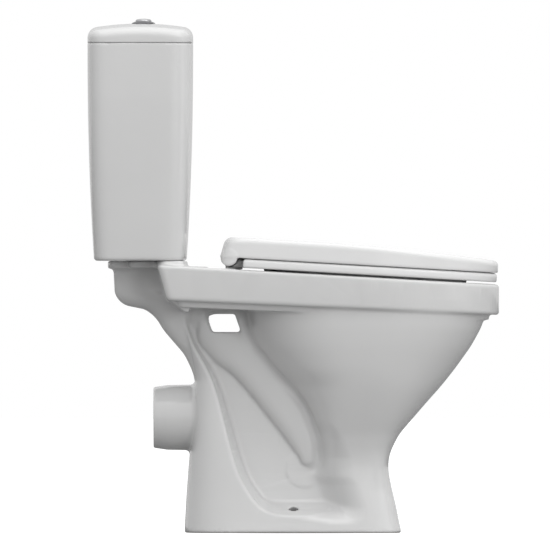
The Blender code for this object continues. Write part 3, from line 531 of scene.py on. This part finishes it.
def recess_depth(z):
    """Distance of the recess's floor from the middle plane."""
    return np.interp(z, *zip(*RECESS_FLOOR)).astype(np.float32)


def recess_fields(cells):
    """The spaces that the recess takes from the rear of the foot and from its front."""
    x, y, z = cells.x, cells.y, cells.z
    edge = outline_field(cells, smooth_line(RECESS, closed=True, steps=3))
    skin = along_height(z, FOOT, 3)
    walls = edge + RECESS_DRAFT * np.clip(skin - x, 0, 0.06)
    depth = recess_depth(z)
    ledge = LEDGE_Z + LEDGE_SLOPE * (LEDGE_X - x) - z
    rear = meet(meet(depth - x, ledge, 0.012), walls, 0.005)
    start, slope = (np.interp(z, *zip(*rows)).astype(np.float32) for rows in RECESS_FRONT)
    beyond = start - y
    beyond = (beyond + np.sqrt(beyond**2 + 0.010**2)) / 2
    rise = depth + slope * beyond
    front = meet(meet((rise - x) / np.hypot(1, slope), ledge, 0.012), walls, 0.005)
    return rear, meet(front, z - RECESS_FRONT_TOP_Z, 0.030)


def outlet_field(cells):
    """The spigot of the horizontal outlet."""
    along = cells.y - OUTLET_END_Y
    radius = np.interp(along, (-OUTLET_TAPER, 0.0), (OUTLET_ROOT_R, OUTLET_R)).astype(np.float32)
    radius = radius + np.clip(-along - OUTLET_TAPER, 0, 0.1) * 0.02
    outer = np.hypot(cells.x, cells.z - OUTLET_Z) - radius
    return meet(outer, np.maximum(along, 0.120 - cells.y), 0.0015)


def chamber_field(cells):
    """The flush chamber, under the platform's rear."""
    rear = np.interp(cells.z, (0.36, 0.434), (0.2850, 0.2888)).astype(np.float32)
    sides = oval_field(cells, 0.140, rear, 0.060, 6.0, 3.6)
    bottom = 0.3600 + 0.2 * (cells.y - 0.2536) - cells.z
    return np.maximum(meet(sides, bottom, 0.022), cells.z - PLATFORM_BOTTOM_Z)


def foot_field(cells):
    """The foot and the bowl, with the recess in each side."""
    z = cells.z
    rear, front = recess_fields(cells)
    foot = unite(section_field(cells, FOOT), section_field(cells, NECK), 0.004)
    foot = carve(foot, rear, 0.0035)
    softness = 0.0035 + 0.016 * np.clip(-cells.y / 0.060, 0, 1)
    bowl = carve(section_field(cells, BOWL), front, softness.astype(np.float32))
    fillet = np.interp(z, (0.115, 0.15, 0.20, 0.25), (0.0005, 0.008, 0.014, 0.030))
    fillet = fillet + 0.045 * np.clip((-cells.y - 0.050) / 0.080, 0, 1) * np.clip((0.22 - z) / 0.06, 0, 1)
    body = unite(foot, bowl, fillet.astype(np.float32))
    pad_y, pad_z, pad_r, pad_height = PAD
    pad = np.hypot(cells.y - pad_y, z - pad_z) - pad_r
    pad = meet(pad, cells.x - recess_depth(z) - pad_height, 0.0010)
    body = unite(body, pad, 0.002)
    web = block_field(cells, (-0.042, 0.040, 0.270), (0.042, 0.148, 0.380), 0.006)
    return unite(body, web, 0.006)


def with_trapway(cells, body):
    """Adds the trapway's bulge: a crease along its lower edge, a soft valley towards the bowl."""
    path = smooth_line(TRAP, steps=4)
    heights, middles = [p[1] for p in path[::-1]], [p[0] for p in path[::-1]]
    beside = np.interp(cells.z, heights, middles) - cells.y
    soft = np.clip((beside + 0.004) / 0.022, 0, 1)
    return unite(body, path_field(cells, path, 3.4), (0.0020 + 0.012 * soft).astype(np.float32))


def with_rim(cells, body):
    """Adds the rim, and the thinner step under its rear."""
    y = cells.y
    step = rim_field(cells, 0.016, 0.030, 0.0575, 0.003)
    tab = block_field(cells, (-0.150, 0.166, 0.3525), (0.150, 0.200, 0.385), 0.003)
    slant = (y - 0.1845 - 1.3 * (cells.z - 0.3613)) / 1.64
    step = meet(unite(step, tab, 0.002), slant, 0.002)
    body = unite(body, step, 0.004)
    return unite(body, rim_field(cells, 0.0, 0.0, RIM_DROP, 0.005), 0.005)


def with_platform(cells, body):
    """Adds the cistern's platform, and the lip behind it."""
    z = cells.z
    rear = oval_field(cells, 0.1745, 0.2648, 0.104, 6.0, 6.0)
    wide = oval_field(cells, 0.1720, 0.2250, 0.170, 8.0, 3.0, middle=0.200)
    slab = np.maximum(z - PLATFORM_TOP_Z, PLATFORM_BOTTOM_Z - z)
    platform = meet(unite(wide, rear, 0.012), slab, 0.002)
    lip = oval_field(cells, 0.1760, 0.2968, 0.070, 6.0, 6.0)
    lip = meet(lip, np.maximum(z - PLATFORM_TOP_Z, 0.422 - z), 0.0025)
    return unite(body, unite(platform, lip, 0.003), 0.006)


def pan_field(cells):
    body = with_trapway(cells, foot_field(cells))
    body = carve(body, outline_field(cells, rounded(WINDOW, 0.004)), 0.003)
    body = np.maximum(body, cells.z - 0.372)
    body = unite(body, chamber_field(cells), 0.018)
    body = with_platform(cells, with_rim(cells, body))
    body = unite(body, outlet_field(cells), 0.007)
    return with_holes(cells, hollowed(cells, body))


def hollowed(cells, body):
    """The basin, the trapway and the space under the foot."""
    x, y, z = cells.x, cells.y, cells.z
    under = meet(body + FOOT_WALL, z - FOOT_HOLLOW_Z, 0.010)
    basin = section_field(cells, BASIN)
    wall = meet(basin - BASIN_WALL, z - 0.340, 0.002)
    body = unite(body, wall, 0.012)
    body = carve(body, meet(basin, z - rim_top(y) + 0.026, 0.006), 0.004)
    front, rear, half = MOUTH
    mouth = oval_field(cells, front, rear, half, 2.3, 2.3)
    body = carve(body, np.maximum(mouth, 0.345 - z), 0.006)
    bore = [(by, bz, TRAP_BORE_R, TRAP_BORE_R) for by, bz, _, _ in TRAP]
    bore += [(by, bz, SUMP_BORE_R, SUMP_BORE_R) for by, bz in SUMP_PATH]
    body = carve(body, path_field(cells, bore), 0.004)
    pipe = np.hypot(x, z - OUTLET_Z) - OUTLET_BORE_R
    body = carve(body, np.maximum(pipe, 0.150 - y), 0.002)
    return carve(body, under, 0.003)


def with_holes(cells, body):
    """The pockets and holes for the fixings, the flush inlet, and the foot's bottom edge."""
    z = cells.z
    pocket = block_field(cells, (0.050, 0.058, 0.300), (0.154, 0.240, 0.409), 0.004)
    body = carve(body, meet(pocket, body + 0.006, 0.002), 0.002)
    for place, radius, low, high in (
        (COUPLING_BOLT, BOLT_HOLE_R, 0.39, 0.45),
        (SEAT_BOLT, BOLT_HOLE_R, 0.38, 0.45),
        (FLOOR_SCREW, SCREW_HOLE_R, -0.01, SCREW_HOLE_TOP_Z),
    ):
        hole = np.maximum(post_field(cells, *place, radius), np.maximum(z - high, low - z))
        body = carve(body, hole, 0.001)
    well = block_field(cells, (-0.046, 0.168, 0.372), (0.046, 0.272, 0.412), 0.006)
    inlet = np.maximum(post_field(cells, 0.0, FLUSH_Y, 0.038), 0.400 - z)
    seat = np.maximum(post_field(cells, 0.0, FLUSH_Y, 0.052), 0.426 - z)
    body = carve(body, np.minimum(np.minimum(well, inlet), seat), 0.001)
    return meet(body, -z, 0.0010)


def rounded(outline, radius, steps=4):
    """The outline with each of its corners turned into an arc."""
    points = []
    for i, corner in enumerate(outline):
        here = Vector(corner)
        before = (Vector(outline[i - 1]) - here).normalized()
        after = (Vector(outline[(i + 1) % len(outline)]) - here).normalized()
        half = before.angle(after) / 2
        centre = here + (before + after).normalized() * radius / math.sin(half)
        start = here + before * radius / math.tan(half) - centre
        end = here + after * radius / math.tan(half) - centre
        for step in range(steps + 1):
            turn = start.lerp(end, step / steps).normalized() * radius
            points.append(tuple(centre + turn))
    return points


def make_pan(material):
    size = 0.0024
    cells = Cells((0, FRONT_Y - 0.012, -0.012), (0.192, 0.310, 0.446), size)
    pan = solid("glazed_pan", cells, pan_field(cells))
    stand_for(pan, "root", "pan", slot="glazed_ceramic", material=material)


# Cistern and its lid


def cistern_outline(cells, z, inset=0.0):
    """The cistern's sides, which narrow downwards and bow a little."""
    height = np.clip((z - CISTERN_BOTTOM_Z) / (CISTERN_TOP_Z - CISTERN_BOTTOM_Z), 0, 1)
    widen = 1 - (1 - height) ** CISTERN_BOW
    (low_front, low_back, low_half), (top_front, top_back, top_half) = CISTERN_FOOT, CISTERN_HEAD
    front = low_front - (low_front - top_front) * widen + inset
    back = low_back + (top_back - low_back) * widen - inset
    half = low_half + (top_half - low_half) * widen - inset
    return oval_field(cells, front, back, half, 7.0, 9.0)


def make_cistern(material):
    """Both halves are made, because only one side has the fill valve's hole."""
    size = 0.0022
    cells = Cells((0, 0.150, 0.424), (0.195, 0.340, 0.792), size)
    outer = mirrored(cistern_outline(cells, cells.z))
    inner = mirrored(cistern_outline(cells, cells.z, CISTERN_WALL))
    cells.low[0] = -(cells.x.size - 1) * size
    cells.x = np.arange(1 - cells.x.size, cells.x.size, dtype=np.float32)[:, None, None] * size
    body = meet(outer, CISTERN_BOTTOM_Z - cells.z, 0.0050)
    body = meet(body, cells.z - CISTERN_TOP_Z, 0.0008)
    body = carve(body, meet(inner, CISTERN_BOTTOM_Z + CISTERN_FLOOR - cells.z, 0.010), 0.002)
    bolt_x, bolt_y = COUPLING_BOLT
    holes = np.hypot(np.abs(cells.x) - bolt_x, cells.y - bolt_y) - BOLT_HOLE_R
    holes = np.minimum(holes, post_field(cells, 0.0, FLUSH_Y, FLUSH_HOLE_R))
    holes = np.minimum(holes, post_field(cells, *FILL_VALVE, VALVE_HOLE_R))
    body = carve(body, np.maximum(holes, cells.z - 0.46), 0.001)
    cistern = solid("glazed_cistern", cells, body)
    stand_for(cistern, "root", "cistern", slot="glazed_ceramic", material=material)


def make_cistern_lid(material):
    size = 0.0015
    bottom = CISTERN_TOP_Z + 0.0003
    cells = Cells((0, 0.150, 0.760), (0.195, 0.340, 0.824), size)
    x, y, z = cells.x, cells.y, cells.z
    outline = cistern_outline(cells, np.float32(CISTERN_TOP_Z))
    away = np.hypot(x / LID_HALF_WIDTH, (y - LID_MIDDLE_Y) / LID_HALF_DEPTH)
    crown = z - (LID_TOP_Z - LID_CROWN * np.clip(away, 0, 1.2) ** 2)
    body = meet(outline, crown, LID_EDGE_R)
    body = meet(body, bottom - z, 0.0005)
    lip = meet(outline + LIP_INSET, bottom - LIP_DEPTH - z, 0.002)
    lip = np.maximum(lip, z - bottom - 0.004)
    body = unite(body, lip, 0.001)
    body = carve(body, meet(outline + LID_HOLLOW_INSET, crown + LID_THICKNESS, 0.008), 0.002)
    body = carve(body, post_field(cells, 0.0, FLUSH_Y, SLEEVE_HOLE_R), 0.001)
    lid = solid("glazed_cistern_lid", cells, body)
    stand_for(lid, "cistern_top", "cistern_lid", slot="glazed_ceramic", material=material)


# Seat


def seat_outline(cells, inset, rear=0.0):
    return oval_field(
        cells, -SEAT_FRONT + inset, rear - inset, SEAT_HALF_WIDTH - inset, 2.25, 14.0, middle=-SEAT_WIDEST
    )


def ring_field(cells):
    """The ring, open below, with a skirt round its hole."""
    y, z = cells.y, cells.z
    outline = meet(seat_outline(cells, 0.0010, 0.020), y + RING_REAR, 0.0040)
    hole = oval_field(cells, *RING_HOLE, 2.1, 2.2, middle=-0.220)
    outline = np.maximum(outline, -hole)
    inward = np.clip(-seat_outline(cells, 0.0010) / 0.030, 0, 1)
    crown = RING_TOP + RING_CROWN * inward * (2 - inward)
    body = meet(outline, z - crown, 0.0050)
    body = meet(body, RING_BOTTOM - z, 0.0030)
    skirt = meet(np.maximum(hole - 0.0030, -hole), np.maximum(RING_SKIRT - z, z - RING_TOP + 0.006), 0.001)
    body = unite(body, skirt, 0.002)
    hollow = meet(outline + RING_WALL, z - RING_TOP + RING_WALL, 0.003)
    return carve(body, hollow, 0.001)


def with_hinge_arms(cells, body):
    """Adds the arms that turn on the pins, and the lugs that fill the gap under the lid's hook."""
    x, y, z = cells.x, cells.y, cells.z
    arm = block_field(cells, (0.058, -0.034, PLATE_TOP + 0.0006), (0.070, 0.0015, 0.0010), 0.001)
    barrel = meet(np.hypot(y, z) - BARREL_R, np.abs(x - 0.064) - 0.006, 0.001)
    body = unite(body, unite(arm, barrel, 0.002), 0.003)
    low, high = (0.096, -0.030, RING_BOTTOM + 0.0008), (0.150, -0.0060, RING_TOP - 0.0010)
    lug = carve(block_field(cells, low, high, 0.001), np.hypot(y, z) - HOOK_CLEAR_R, 0.001)
    body = unite(body, lug, 0.001)
    return carve(body, np.maximum(np.hypot(y, z) - PIN_BORE_R, 0.050 - x), 0.0003)


def make_seat_ring(material):
    size = 0.0018
    cells = Cells((0, -SEAT_FRONT - 0.008, -0.022), (0.188, 0.018, 0.016), size)
    ring = solid("moulded_seat_ring", cells, with_hinge_arms(cells, ring_field(cells)))
    stand_for(ring, "seat", "seat_ring", slot="seat_plastic", material=material, frame=SEAT_FRAME)


def lid_height(y):
    fall = np.clip((-y - 0.150) / (SEAT_FRONT - 0.150), 0, 1)
    return SEAT_LID_TOP - (SEAT_LID_TOP - SEAT_LID_FRONT_TOP) * fall**1.7


def make_seat_lid(material):
    size = 0.0018
    cells = Cells((0, -SEAT_FRONT - 0.008, -0.020), (0.188, 0.024, 0.040), size)
    x, y, z = cells.x, cells.y, cells.z
    outline = seat_outline(cells, 0.0, HOOK_R - 0.22 * np.maximum(z, 0))
    top = z - lid_height(y)
    edge = np.interp(y, (-SEAT_FRONT, -0.03, 0.0), (0.0080, 0.0080, 0.0110)).astype(np.float32)
    body = meet(outline, top, edge)
    body = meet(body, SEAT_LID_BOTTOM - z, 0.0012)
    hollow = meet(outline + SEAT_LID_WALL, top + SEAT_LID_WALL, 0.005)
    hollow = np.maximum(hollow, y + 0.008)
    body = carve(body, hollow, 0.001)
    body = unite(body, meet(np.hypot(y, z) - HOOK_R, outline, 0.0030), 0.002)
    notch = block_field(cells, (0.056, -0.030, -0.030), (0.088, 0.030, 0.0115), 0.001)
    body = carve(body, notch, 0.001)
    bore = np.maximum(np.hypot(y, z) - PIN_BORE_R, np.maximum(0.050 - x, x - 0.1015))
    body = carve(body, bore, 0.0003)
    lid = solid("moulded_seat_lid", cells, body)
    stand_for(lid, "lid", "seat_lid", slot="seat_plastic", material=material, frame=SEAT_FRAME)


# Push buttons


def make_button(name, side, material):
    """Half of a domed round button, split along the middle."""
    low, high = sorted((side * 0.0002, side * 0.0150))
    corners = (low - 0.0008, FLUSH_Y - 0.0142, 0.7988), (high + 0.0008, FLUSH_Y + 0.0142, 0.8230)
    cells = Cells(*corners, 0.0004)
    x, y, z = cells.x, cells.y, cells.z
    away = np.hypot(x, y - FLUSH_Y)
    dome = z - (BUTTON_TOP_Z - BUTTON_DOME * (away / BUTTON_R) ** 2)
    body = meet(away - BUTTON_R, dome, 0.0026)
    body = meet(body, BUTTON_BOTTOM_Z - z, 0.0004)
    body = meet(body, BUTTON_GAP - side * x, 0.0004)
    button = solid("polished_" + name, cells, body)
    stand_for(button, name + "_button", name + "_flush_button", slot="chrome", material=material)


def make_housing(material):
    """The sleeve that the buttons slide in, with a rounded bezel on the cistern's lid."""
    cells = Cells((-0.0212, FLUSH_Y - 0.0212, 0.7788), (0.0212, FLUSH_Y + 0.0212, 0.8190), 0.0005)
    x, y, z = cells.x, cells.y, cells.z
    away = np.hypot(x, y - FLUSH_Y)
    sleeve = meet(away - SLEEVE_R, SLEEVE_BOTTOM_Z - z, 0.0006)
    slope = z - BEZEL_TOP_Z + 0.5 * np.maximum(away - 0.0140, 0)
    bezel = meet(away - BEZEL_R, np.maximum(slope, LID_TOP_Z - z), 0.0008)
    body = unite(np.maximum(sleeve, z - 0.8160), bezel, 0.0002)
    bore = meet(away - BUTTON_R - 0.0005, SLEEVE_FLOOR_Z - z, 0.0005)
    body = carve(body, bore, 0.0008)
    rods = np.hypot(np.abs(x) - ROD_X, y - FLUSH_Y) - ROD_HOLE_R
    body = carve(body, np.maximum(rods, z - 0.7860), 0.0003)
    housing = solid("polished_housing", cells, body)
    stand_for(housing, "cistern_top", "button_housing", slot="chrome", material=material)


# Small parts, which keep the CAD's shapes


def refine(source, body, slot, material):
    """A copy of a CAD node with smooth curved sides and rounded edges, in the node's place."""
    mesh = source.data.copy()
    shape = bmesh.new()
    shape.from_mesh(mesh)
    bmesh.ops.remove_doubles(shape, verts=shape.verts, dist=1e-6)
    bmesh.ops.dissolve_limit(shape, angle_limit=math.radians(1), verts=shape.verts, edges=shape.edges)
    for face in shape.faces:
        face.smooth = True
    for edge in shape.edges:
        edge.smooth = edge.calc_face_angle(0.0) < SHARP_ANGLE
    shape.to_mesh(mesh)
    shape.free()
    mesh.materials.clear()
    obj = bpy.data.objects.new("finished_" + source.name, mesh)
    obj.matrix_world = source.matrix_world.copy()
    bpy.context.scene.collection.objects.link(obj)
    bevel = obj.modifiers.new("edges", "BEVEL")
    bevel.limit_method = "ANGLE"
    bevel.angle_limit = SHARP_ANGLE
    bevel.width = EDGE_RADIUS
    bevel.segments = 2
    stand_for(obj, body, source.name, slot=slot, material=material)


def refine_small_parts(frame, materials):
    """Springs stay as they are, because they shorten with the buttons."""
    record = frame["record"]
    slots = {part["node"]: part["material_slot"] for part in record["subparts"]}
    for body, nodes in record["behaviour"]["bodies"].items():
        for node in nodes:
            source = frame["nodes"][node]
            if node in REMADE:
                continue
            if node.endswith("spring"):
                source.data.materials.clear()
                source.data.materials.append(materials[slots[node]])
            else:
                refine(source, body, slots[node], materials[slots[node]])


# Materials


def shader_of(name, colour, roughness, metallic=0.0, coat=0.0):
    material = bpy.data.materials.new(name)
    material.use_nodes = True
    shader = material.node_tree.nodes["Principled BSDF"]
    shader.inputs["Base Color"].default_value = (*colour, 1)
    shader.inputs["Roughness"].default_value = roughness
    shader.inputs["Metallic"].default_value = metallic
    shader.inputs["Coat Weight"].default_value = coat
    shader.inputs["Coat Roughness"].default_value = 0.03
    return material, shader


def own_place(tree):
    """The point's place in the object's own frame."""
    return tree.nodes.new("ShaderNodeTexCoord").outputs["Object"]


def height_in(tree, vector):
    split = tree.nodes.new("ShaderNodeSeparateXYZ")
    tree.links.new(vector, split.inputs["Vector"])
    return split.outputs["Z"]


def vector_math(tree, operation, vector, other=(0.0, 0.0, 0.0)):
    node = tree.nodes.new("ShaderNodeVectorMath")
    node.operation = operation
    node.inputs[1].default_value = other
    tree.links.new(vector, node.inputs[0])
    return node.outputs["Value" if operation == "LENGTH" else "Vector"]


def noise(tree, scale, detail=3.0, stretch=(1.0, 1.0, 1.0)):
    mapping = tree.nodes.new("ShaderNodeMapping")
    mapping.inputs["Scale"].default_value = stretch
    tree.links.new(own_place(tree), mapping.inputs["Vector"])
    texture = tree.nodes.new("ShaderNodeTexNoise")
    texture.inputs["Scale"].default_value = scale
    texture.inputs["Detail"].default_value = detail
    tree.links.new(mapping.outputs["Vector"], texture.inputs["Vector"])
    return texture.outputs["Fac"]


def spread(tree, value, low, high, start=0.0, end=1.0):
    """Maps start..end to low..high."""
    node = tree.nodes.new("ShaderNodeMapRange")
    node.inputs["From Min"].default_value = start
    node.inputs["From Max"].default_value = end
    node.inputs["To Min"].default_value = low
    node.inputs["To Max"].default_value = high
    tree.links.new(value, node.inputs["Value"])
    return node.outputs["Result"]


def blended(tree, share, first, second):
    node = tree.nodes.new("ShaderNodeMix")
    node.data_type = "RGBA"
    for socket, colour in ((6, first), (7, second)):
        if isinstance(colour, tuple):
            node.inputs[socket].default_value = (*colour, 1)
        else:
            tree.links.new(colour, node.inputs[socket])
    tree.links.new(share, node.inputs["Factor"])
    return node.outputs[2]


def bumped(tree, shader, height, distance, socket="Normal"):
    node = tree.nodes.new("ShaderNodeBump")
    node.inputs["Distance"].default_value = distance
    tree.links.new(height, node.inputs["Height"])
    tree.links.new(node.outputs["Normal"], shader.inputs[socket])


def glaze(bare_below=None):
    """White glaze, slightly wavy. Below the given height the fired clay is bare."""
    material, shader = shader_of("glaze", (0.60, 0.60, 0.60), 0.16, coat=0.6)
    tree = material.node_tree
    tone = blended(tree, noise(tree, 9.0), (0.585, 0.585, 0.585), (0.625, 0.625, 0.622))
    rough = spread(tree, noise(tree, 26.0), 0.12, 0.20)
    if bare_below is not None:
        bare = height_mask(tree, bare_below)
        # Inside the floor screws' holes the glaze is painted near black: painted shade.
        bore = larger(tree, hole_shade_mask(tree), height_mask(tree, SCREW_HOLE_TOP_Z))
        clay = blended(tree, noise(tree, 300.0, 5.0), (0.42, 0.38, 0.33), (0.56, 0.52, 0.46))
        tone = blended(tree, bore, (0.012, 0.011, 0.010), blended(tree, bare, clay, tone))
        rough = mixed(tree, bare, 0.85, rough)
        tree.links.new(spread(tree, bare, 0.0, 0.6), shader.inputs["Coat Weight"])
    tree.links.new(tone, shader.inputs["Base Color"])
    tree.links.new(rough, shader.inputs["Roughness"])
    bumped(tree, shader, noise(tree, 42.0, 2.0), 0.00012)
    bumped(tree, shader, noise(tree, 30.0, 1.0), 0.00008, socket="Coat Normal")
    return material


def height_mask(tree, height):
    """0 below the height, 1 above it."""
    return spread(tree, height_in(tree, own_place(tree)), 0.0, 1.0, height - 0.0003, height + 0.0003)


def larger(tree, first, second):
    node = tree.nodes.new("ShaderNodeMath")
    node.operation = "MAXIMUM"
    tree.links.new(first, node.inputs[0])
    tree.links.new(second, node.inputs[1])
    return node.outputs["Value"]


def hole_shade_mask(tree):
    """0 in the floor screws' holes, 1 elsewhere. Painted shade keeps these holes dark."""
    fold = vector_math(tree, "ABSOLUTE", own_place(tree))
    shift = vector_math(tree, "SUBTRACT", fold, (*FLOOR_SCREW, 0.0))
    away = vector_math(tree, "LENGTH", vector_math(tree, "MULTIPLY", shift, (1.0, 1.0, 0.0)))
    return spread(tree, away, 0.0, 1.0, SCREW_HOLE_R - 0.0004, SCREW_HOLE_R + 0.0006)


def mixed(tree, share, first, second):
    node = tree.nodes.new("ShaderNodeMix")
    for socket, value in ((2, first), (3, second)):
        if isinstance(value, float):
            node.inputs[socket].default_value = value
        else:
            tree.links.new(value, node.inputs[socket])
    tree.links.new(share, node.inputs["Factor"])
    return node.outputs[0]


def gloss_plastic():
    material, shader = shader_of("gloss_plastic", (0.70, 0.70, 0.70), 0.20, coat=0.3)
    tree = material.node_tree
    tone = blended(tree, noise(tree, 12.0), (0.69, 0.69, 0.69), (0.715, 0.715, 0.713))
    tree.links.new(tone, shader.inputs["Base Color"])
    tree.links.new(spread(tree, noise(tree, 60.0), 0.17, 0.25), shader.inputs["Roughness"])
    bumped(tree, shader, noise(tree, 900.0, 2.0), 0.00001)
    return material


def moulded(name, colour, roughness, grain, depth):
    """Plastic or rubber with a fine moulded grain."""
    material, shader = shader_of(name, colour, roughness)
    tree = material.node_tree
    darker = tuple(0.86 * part for part in colour)
    lighter = tuple(min(1.0, 1.10 * part + 0.004) for part in colour)
    tree.links.new(blended(tree, noise(tree, 35.0, 4.0), darker, lighter), shader.inputs["Base Color"])
    rough = spread(tree, noise(tree, 90.0), 0.85 * roughness, min(1.0, 1.2 * roughness))
    tree.links.new(rough, shader.inputs["Roughness"])
    bumped(tree, shader, noise(tree, grain, 3.0), depth)
    return material


def metal(name, colour, roughness, stretch, depth):
    """Metal whose fine marks run one way."""
    material, shader = shader_of(name, colour, roughness, metallic=1.0)
    tree = material.node_tree
    marks = noise(tree, 220.0, 4.0, stretch=stretch)
    darker = tuple(0.88 * part for part in colour)
    tree.links.new(blended(tree, marks, darker, colour), shader.inputs["Base Color"])
    tree.links.new(spread(tree, marks, 0.7 * roughness, 1.4 * roughness), shader.inputs["Roughness"])
    bumped(tree, shader, marks, depth)
    return material


def make_materials():
    """One material for each of the record's slots, with more for the pan and the buttons' housing, whose
    darker chrome is painted shade.
    """
    return {
        "glazed_ceramic": glaze(),
        "pan": glaze(bare_below=0.0008),
        "seat_plastic": gloss_plastic(),
        "valve_plastic": moulded("valve_plastic", (0.68, 0.69, 0.70), 0.42, 700.0, 0.00003),
        "dark_plastic": moulded("dark_plastic", (0.030, 0.050, 0.120), 0.40, 700.0, 0.00003),
        "red_plastic": moulded("red_plastic", (0.42, 0.030, 0.022), 0.38, 700.0, 0.00003),
        "rubber": moulded("rubber", (0.022, 0.022, 0.022), 0.75, 1200.0, 0.00006),
        "buffer_rubber": moulded("buffer_rubber", (0.42, 0.42, 0.42), 0.60, 1200.0, 0.00004),
        "brass": metal("brass", (0.66, 0.47, 0.20), 0.30, (1.0, 1.0, 9.0), 0.00002),
        "steel": metal("steel", (0.58, 0.58, 0.59), 0.28, (1.0, 1.0, 12.0), 0.00002),
        "chrome": metal("chrome", (0.50, 0.50, 0.51), 0.07, (1.0, 1.0, 1.0), 0.000004),
        # A darker copy of the chrome for the buttons' housing: painted shade.
        "shaded_chrome": metal("shaded_chrome", (0.17, 0.17, 0.18), 0.10, (1.0, 1.0, 1.0), 0.000004),
    }


# Studio


def look_at(obj, target):
    obj.rotation_euler = (Vector(target) - obj.location).to_track_quat("-Z", "Y").to_euler()


def area_light(name, place, target, width, height, power):
    data = bpy.data.lights.new(name, "AREA")
    data.shape = "RECTANGLE"
    data.size, data.size_y = width, height
    data.energy = power
    light = bpy.data.objects.new(name, data)
    light.location = place
    bpy.context.scene.collection.objects.link(light)
    look_at(light, target)
    return light


def make_lights():
    for name, place, width, height, power in LIGHTS:
        light = area_light(name, place, LIGHTS_AIM, width, height, power)
        light.visible_glossy = name not in SOFT_LIGHTS


def make_camera():
    data = bpy.data.cameras.new("camera")
    data.sensor_width = 36.0
    data.lens = data.sensor_width * CAMERA_DISTANCE / VIEW_WIDTH
    data.clip_end = 100.0
    camera = bpy.data.objects.new("camera", data)
    bpy.context.scene.collection.objects.link(camera)
    camera.location = (-CAMERA_DISTANCE, *VIEW_MIDDLE)
    look_at(camera, (0.0, *VIEW_MIDDLE))
    bpy.context.scene.camera = camera


def make_world():
    """White to the camera. It lights the object softly, mostly from above."""
    world = bpy.data.worlds.new("studio")
    bpy.context.scene.world = world
    world.use_nodes = True
    tree = world.node_tree
    nodes, links = tree.nodes, tree.links
    nodes.clear()
    output = nodes.new("ShaderNodeOutputWorld")
    white = nodes.new("ShaderNodeBackground")
    white.inputs["Color"].default_value = (1, 1, 1, 1)
    soft = nodes.new("ShaderNodeBackground")
    height = height_in(tree, nodes.new("ShaderNodeTexCoord").outputs["Generated"])
    light = spread(tree, height, *SKY, start=-0.6)
    mirror = spread(tree, height, *MIRRORED_SKY)
    path = nodes.new("ShaderNodeLightPath")
    strength = mixed(tree, path.outputs["Is Glossy Ray"], light, mirror)
    links.new(strength, soft.inputs["Strength"])
    mix = nodes.new("ShaderNodeMixShader")
    links.new(path.outputs["Is Camera Ray"], mix.inputs["Fac"])
    links.new(soft.outputs["Background"], mix.inputs[1])
    links.new(white.outputs["Background"], mix.inputs[2])
    links.new(mix.outputs["Shader"], output.inputs["Surface"])


def outside_foot(tree):
    """0 on the floor under the foot, 1 around it."""
    half_width, half_depth = FOOT_HALVES
    away = vector_math(tree, "MULTIPLY", own_place(tree), (1 / half_width, 1 / half_depth, 0.0))
    edge = tree.nodes.new("ShaderNodeMath")
    edge.operation = "GREATER_THAN"
    edge.inputs[1].default_value = 1.0
    tree.links.new(vector_math(tree, "LENGTH", away), edge.inputs[0])
    return edge.outputs["Value"]


def floor_material():
    """Matt to the object, white to the camera."""
    material = bpy.data.materials.new("pale_floor")
    material.use_nodes = True
    tree = material.node_tree
    nodes, links = tree.nodes, tree.links
    nodes.clear()
    output = nodes.new("ShaderNodeOutputMaterial")
    matt = nodes.new("ShaderNodeBsdfDiffuse")
    matt.inputs["Color"].default_value = (0.22, 0.22, 0.22, 1)
    glow = nodes.new("ShaderNodeEmission")
    links.new(outside_foot(tree), glow.inputs["Strength"])
    both = nodes.new("ShaderNodeAddShader")
    links.new(matt.outputs["BSDF"], both.inputs[0])
    links.new(glow.outputs["Emission"], both.inputs[1])
    path = nodes.new("ShaderNodeLightPath")
    mix = nodes.new("ShaderNodeMixShader")
    links.new(path.outputs["Is Camera Ray"], mix.inputs["Fac"])
    links.new(matt.outputs["BSDF"], mix.inputs[1])
    links.new(both.outputs["Shader"], mix.inputs[2])
    links.new(mix.outputs["Shader"], output.inputs["Surface"])
    return material


def make_floor():
    shape = bmesh.new()
    bmesh.ops.create_grid(shape, x_segments=1, y_segments=1, size=FLOOR_HALF_WIDTH)
    mesh = bpy.data.meshes.new("floor")
    shape.to_mesh(mesh)
    shape.free()
    mesh.materials.append(floor_material())
    floor = bpy.data.objects.new("floor", mesh)
    floor.location.z = -0.0005
    bpy.context.scene.collection.objects.link(floor)


def make_studio():
    bpy.context.scene.view_settings.view_transform = "Standard"
    make_camera()
    make_world()
    make_floor()
    make_lights()


def main():
    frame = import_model()
    make_studio()
    materials = make_materials()
    make_pan(materials["pan"])
    make_cistern(materials["glazed_ceramic"])
    make_cistern_lid(materials["glazed_ceramic"])
    make_seat_ring(materials["seat_plastic"])
    make_seat_lid(materials["seat_plastic"])
    # The housing's chrome is darkened as painted shade.
    make_housing(materials["shaded_chrome"])
    for name, side in (("full", 1), ("half", -1)):
        make_button(name, side, materials["chrome"])
    refine_small_parts(frame, materials)


main()
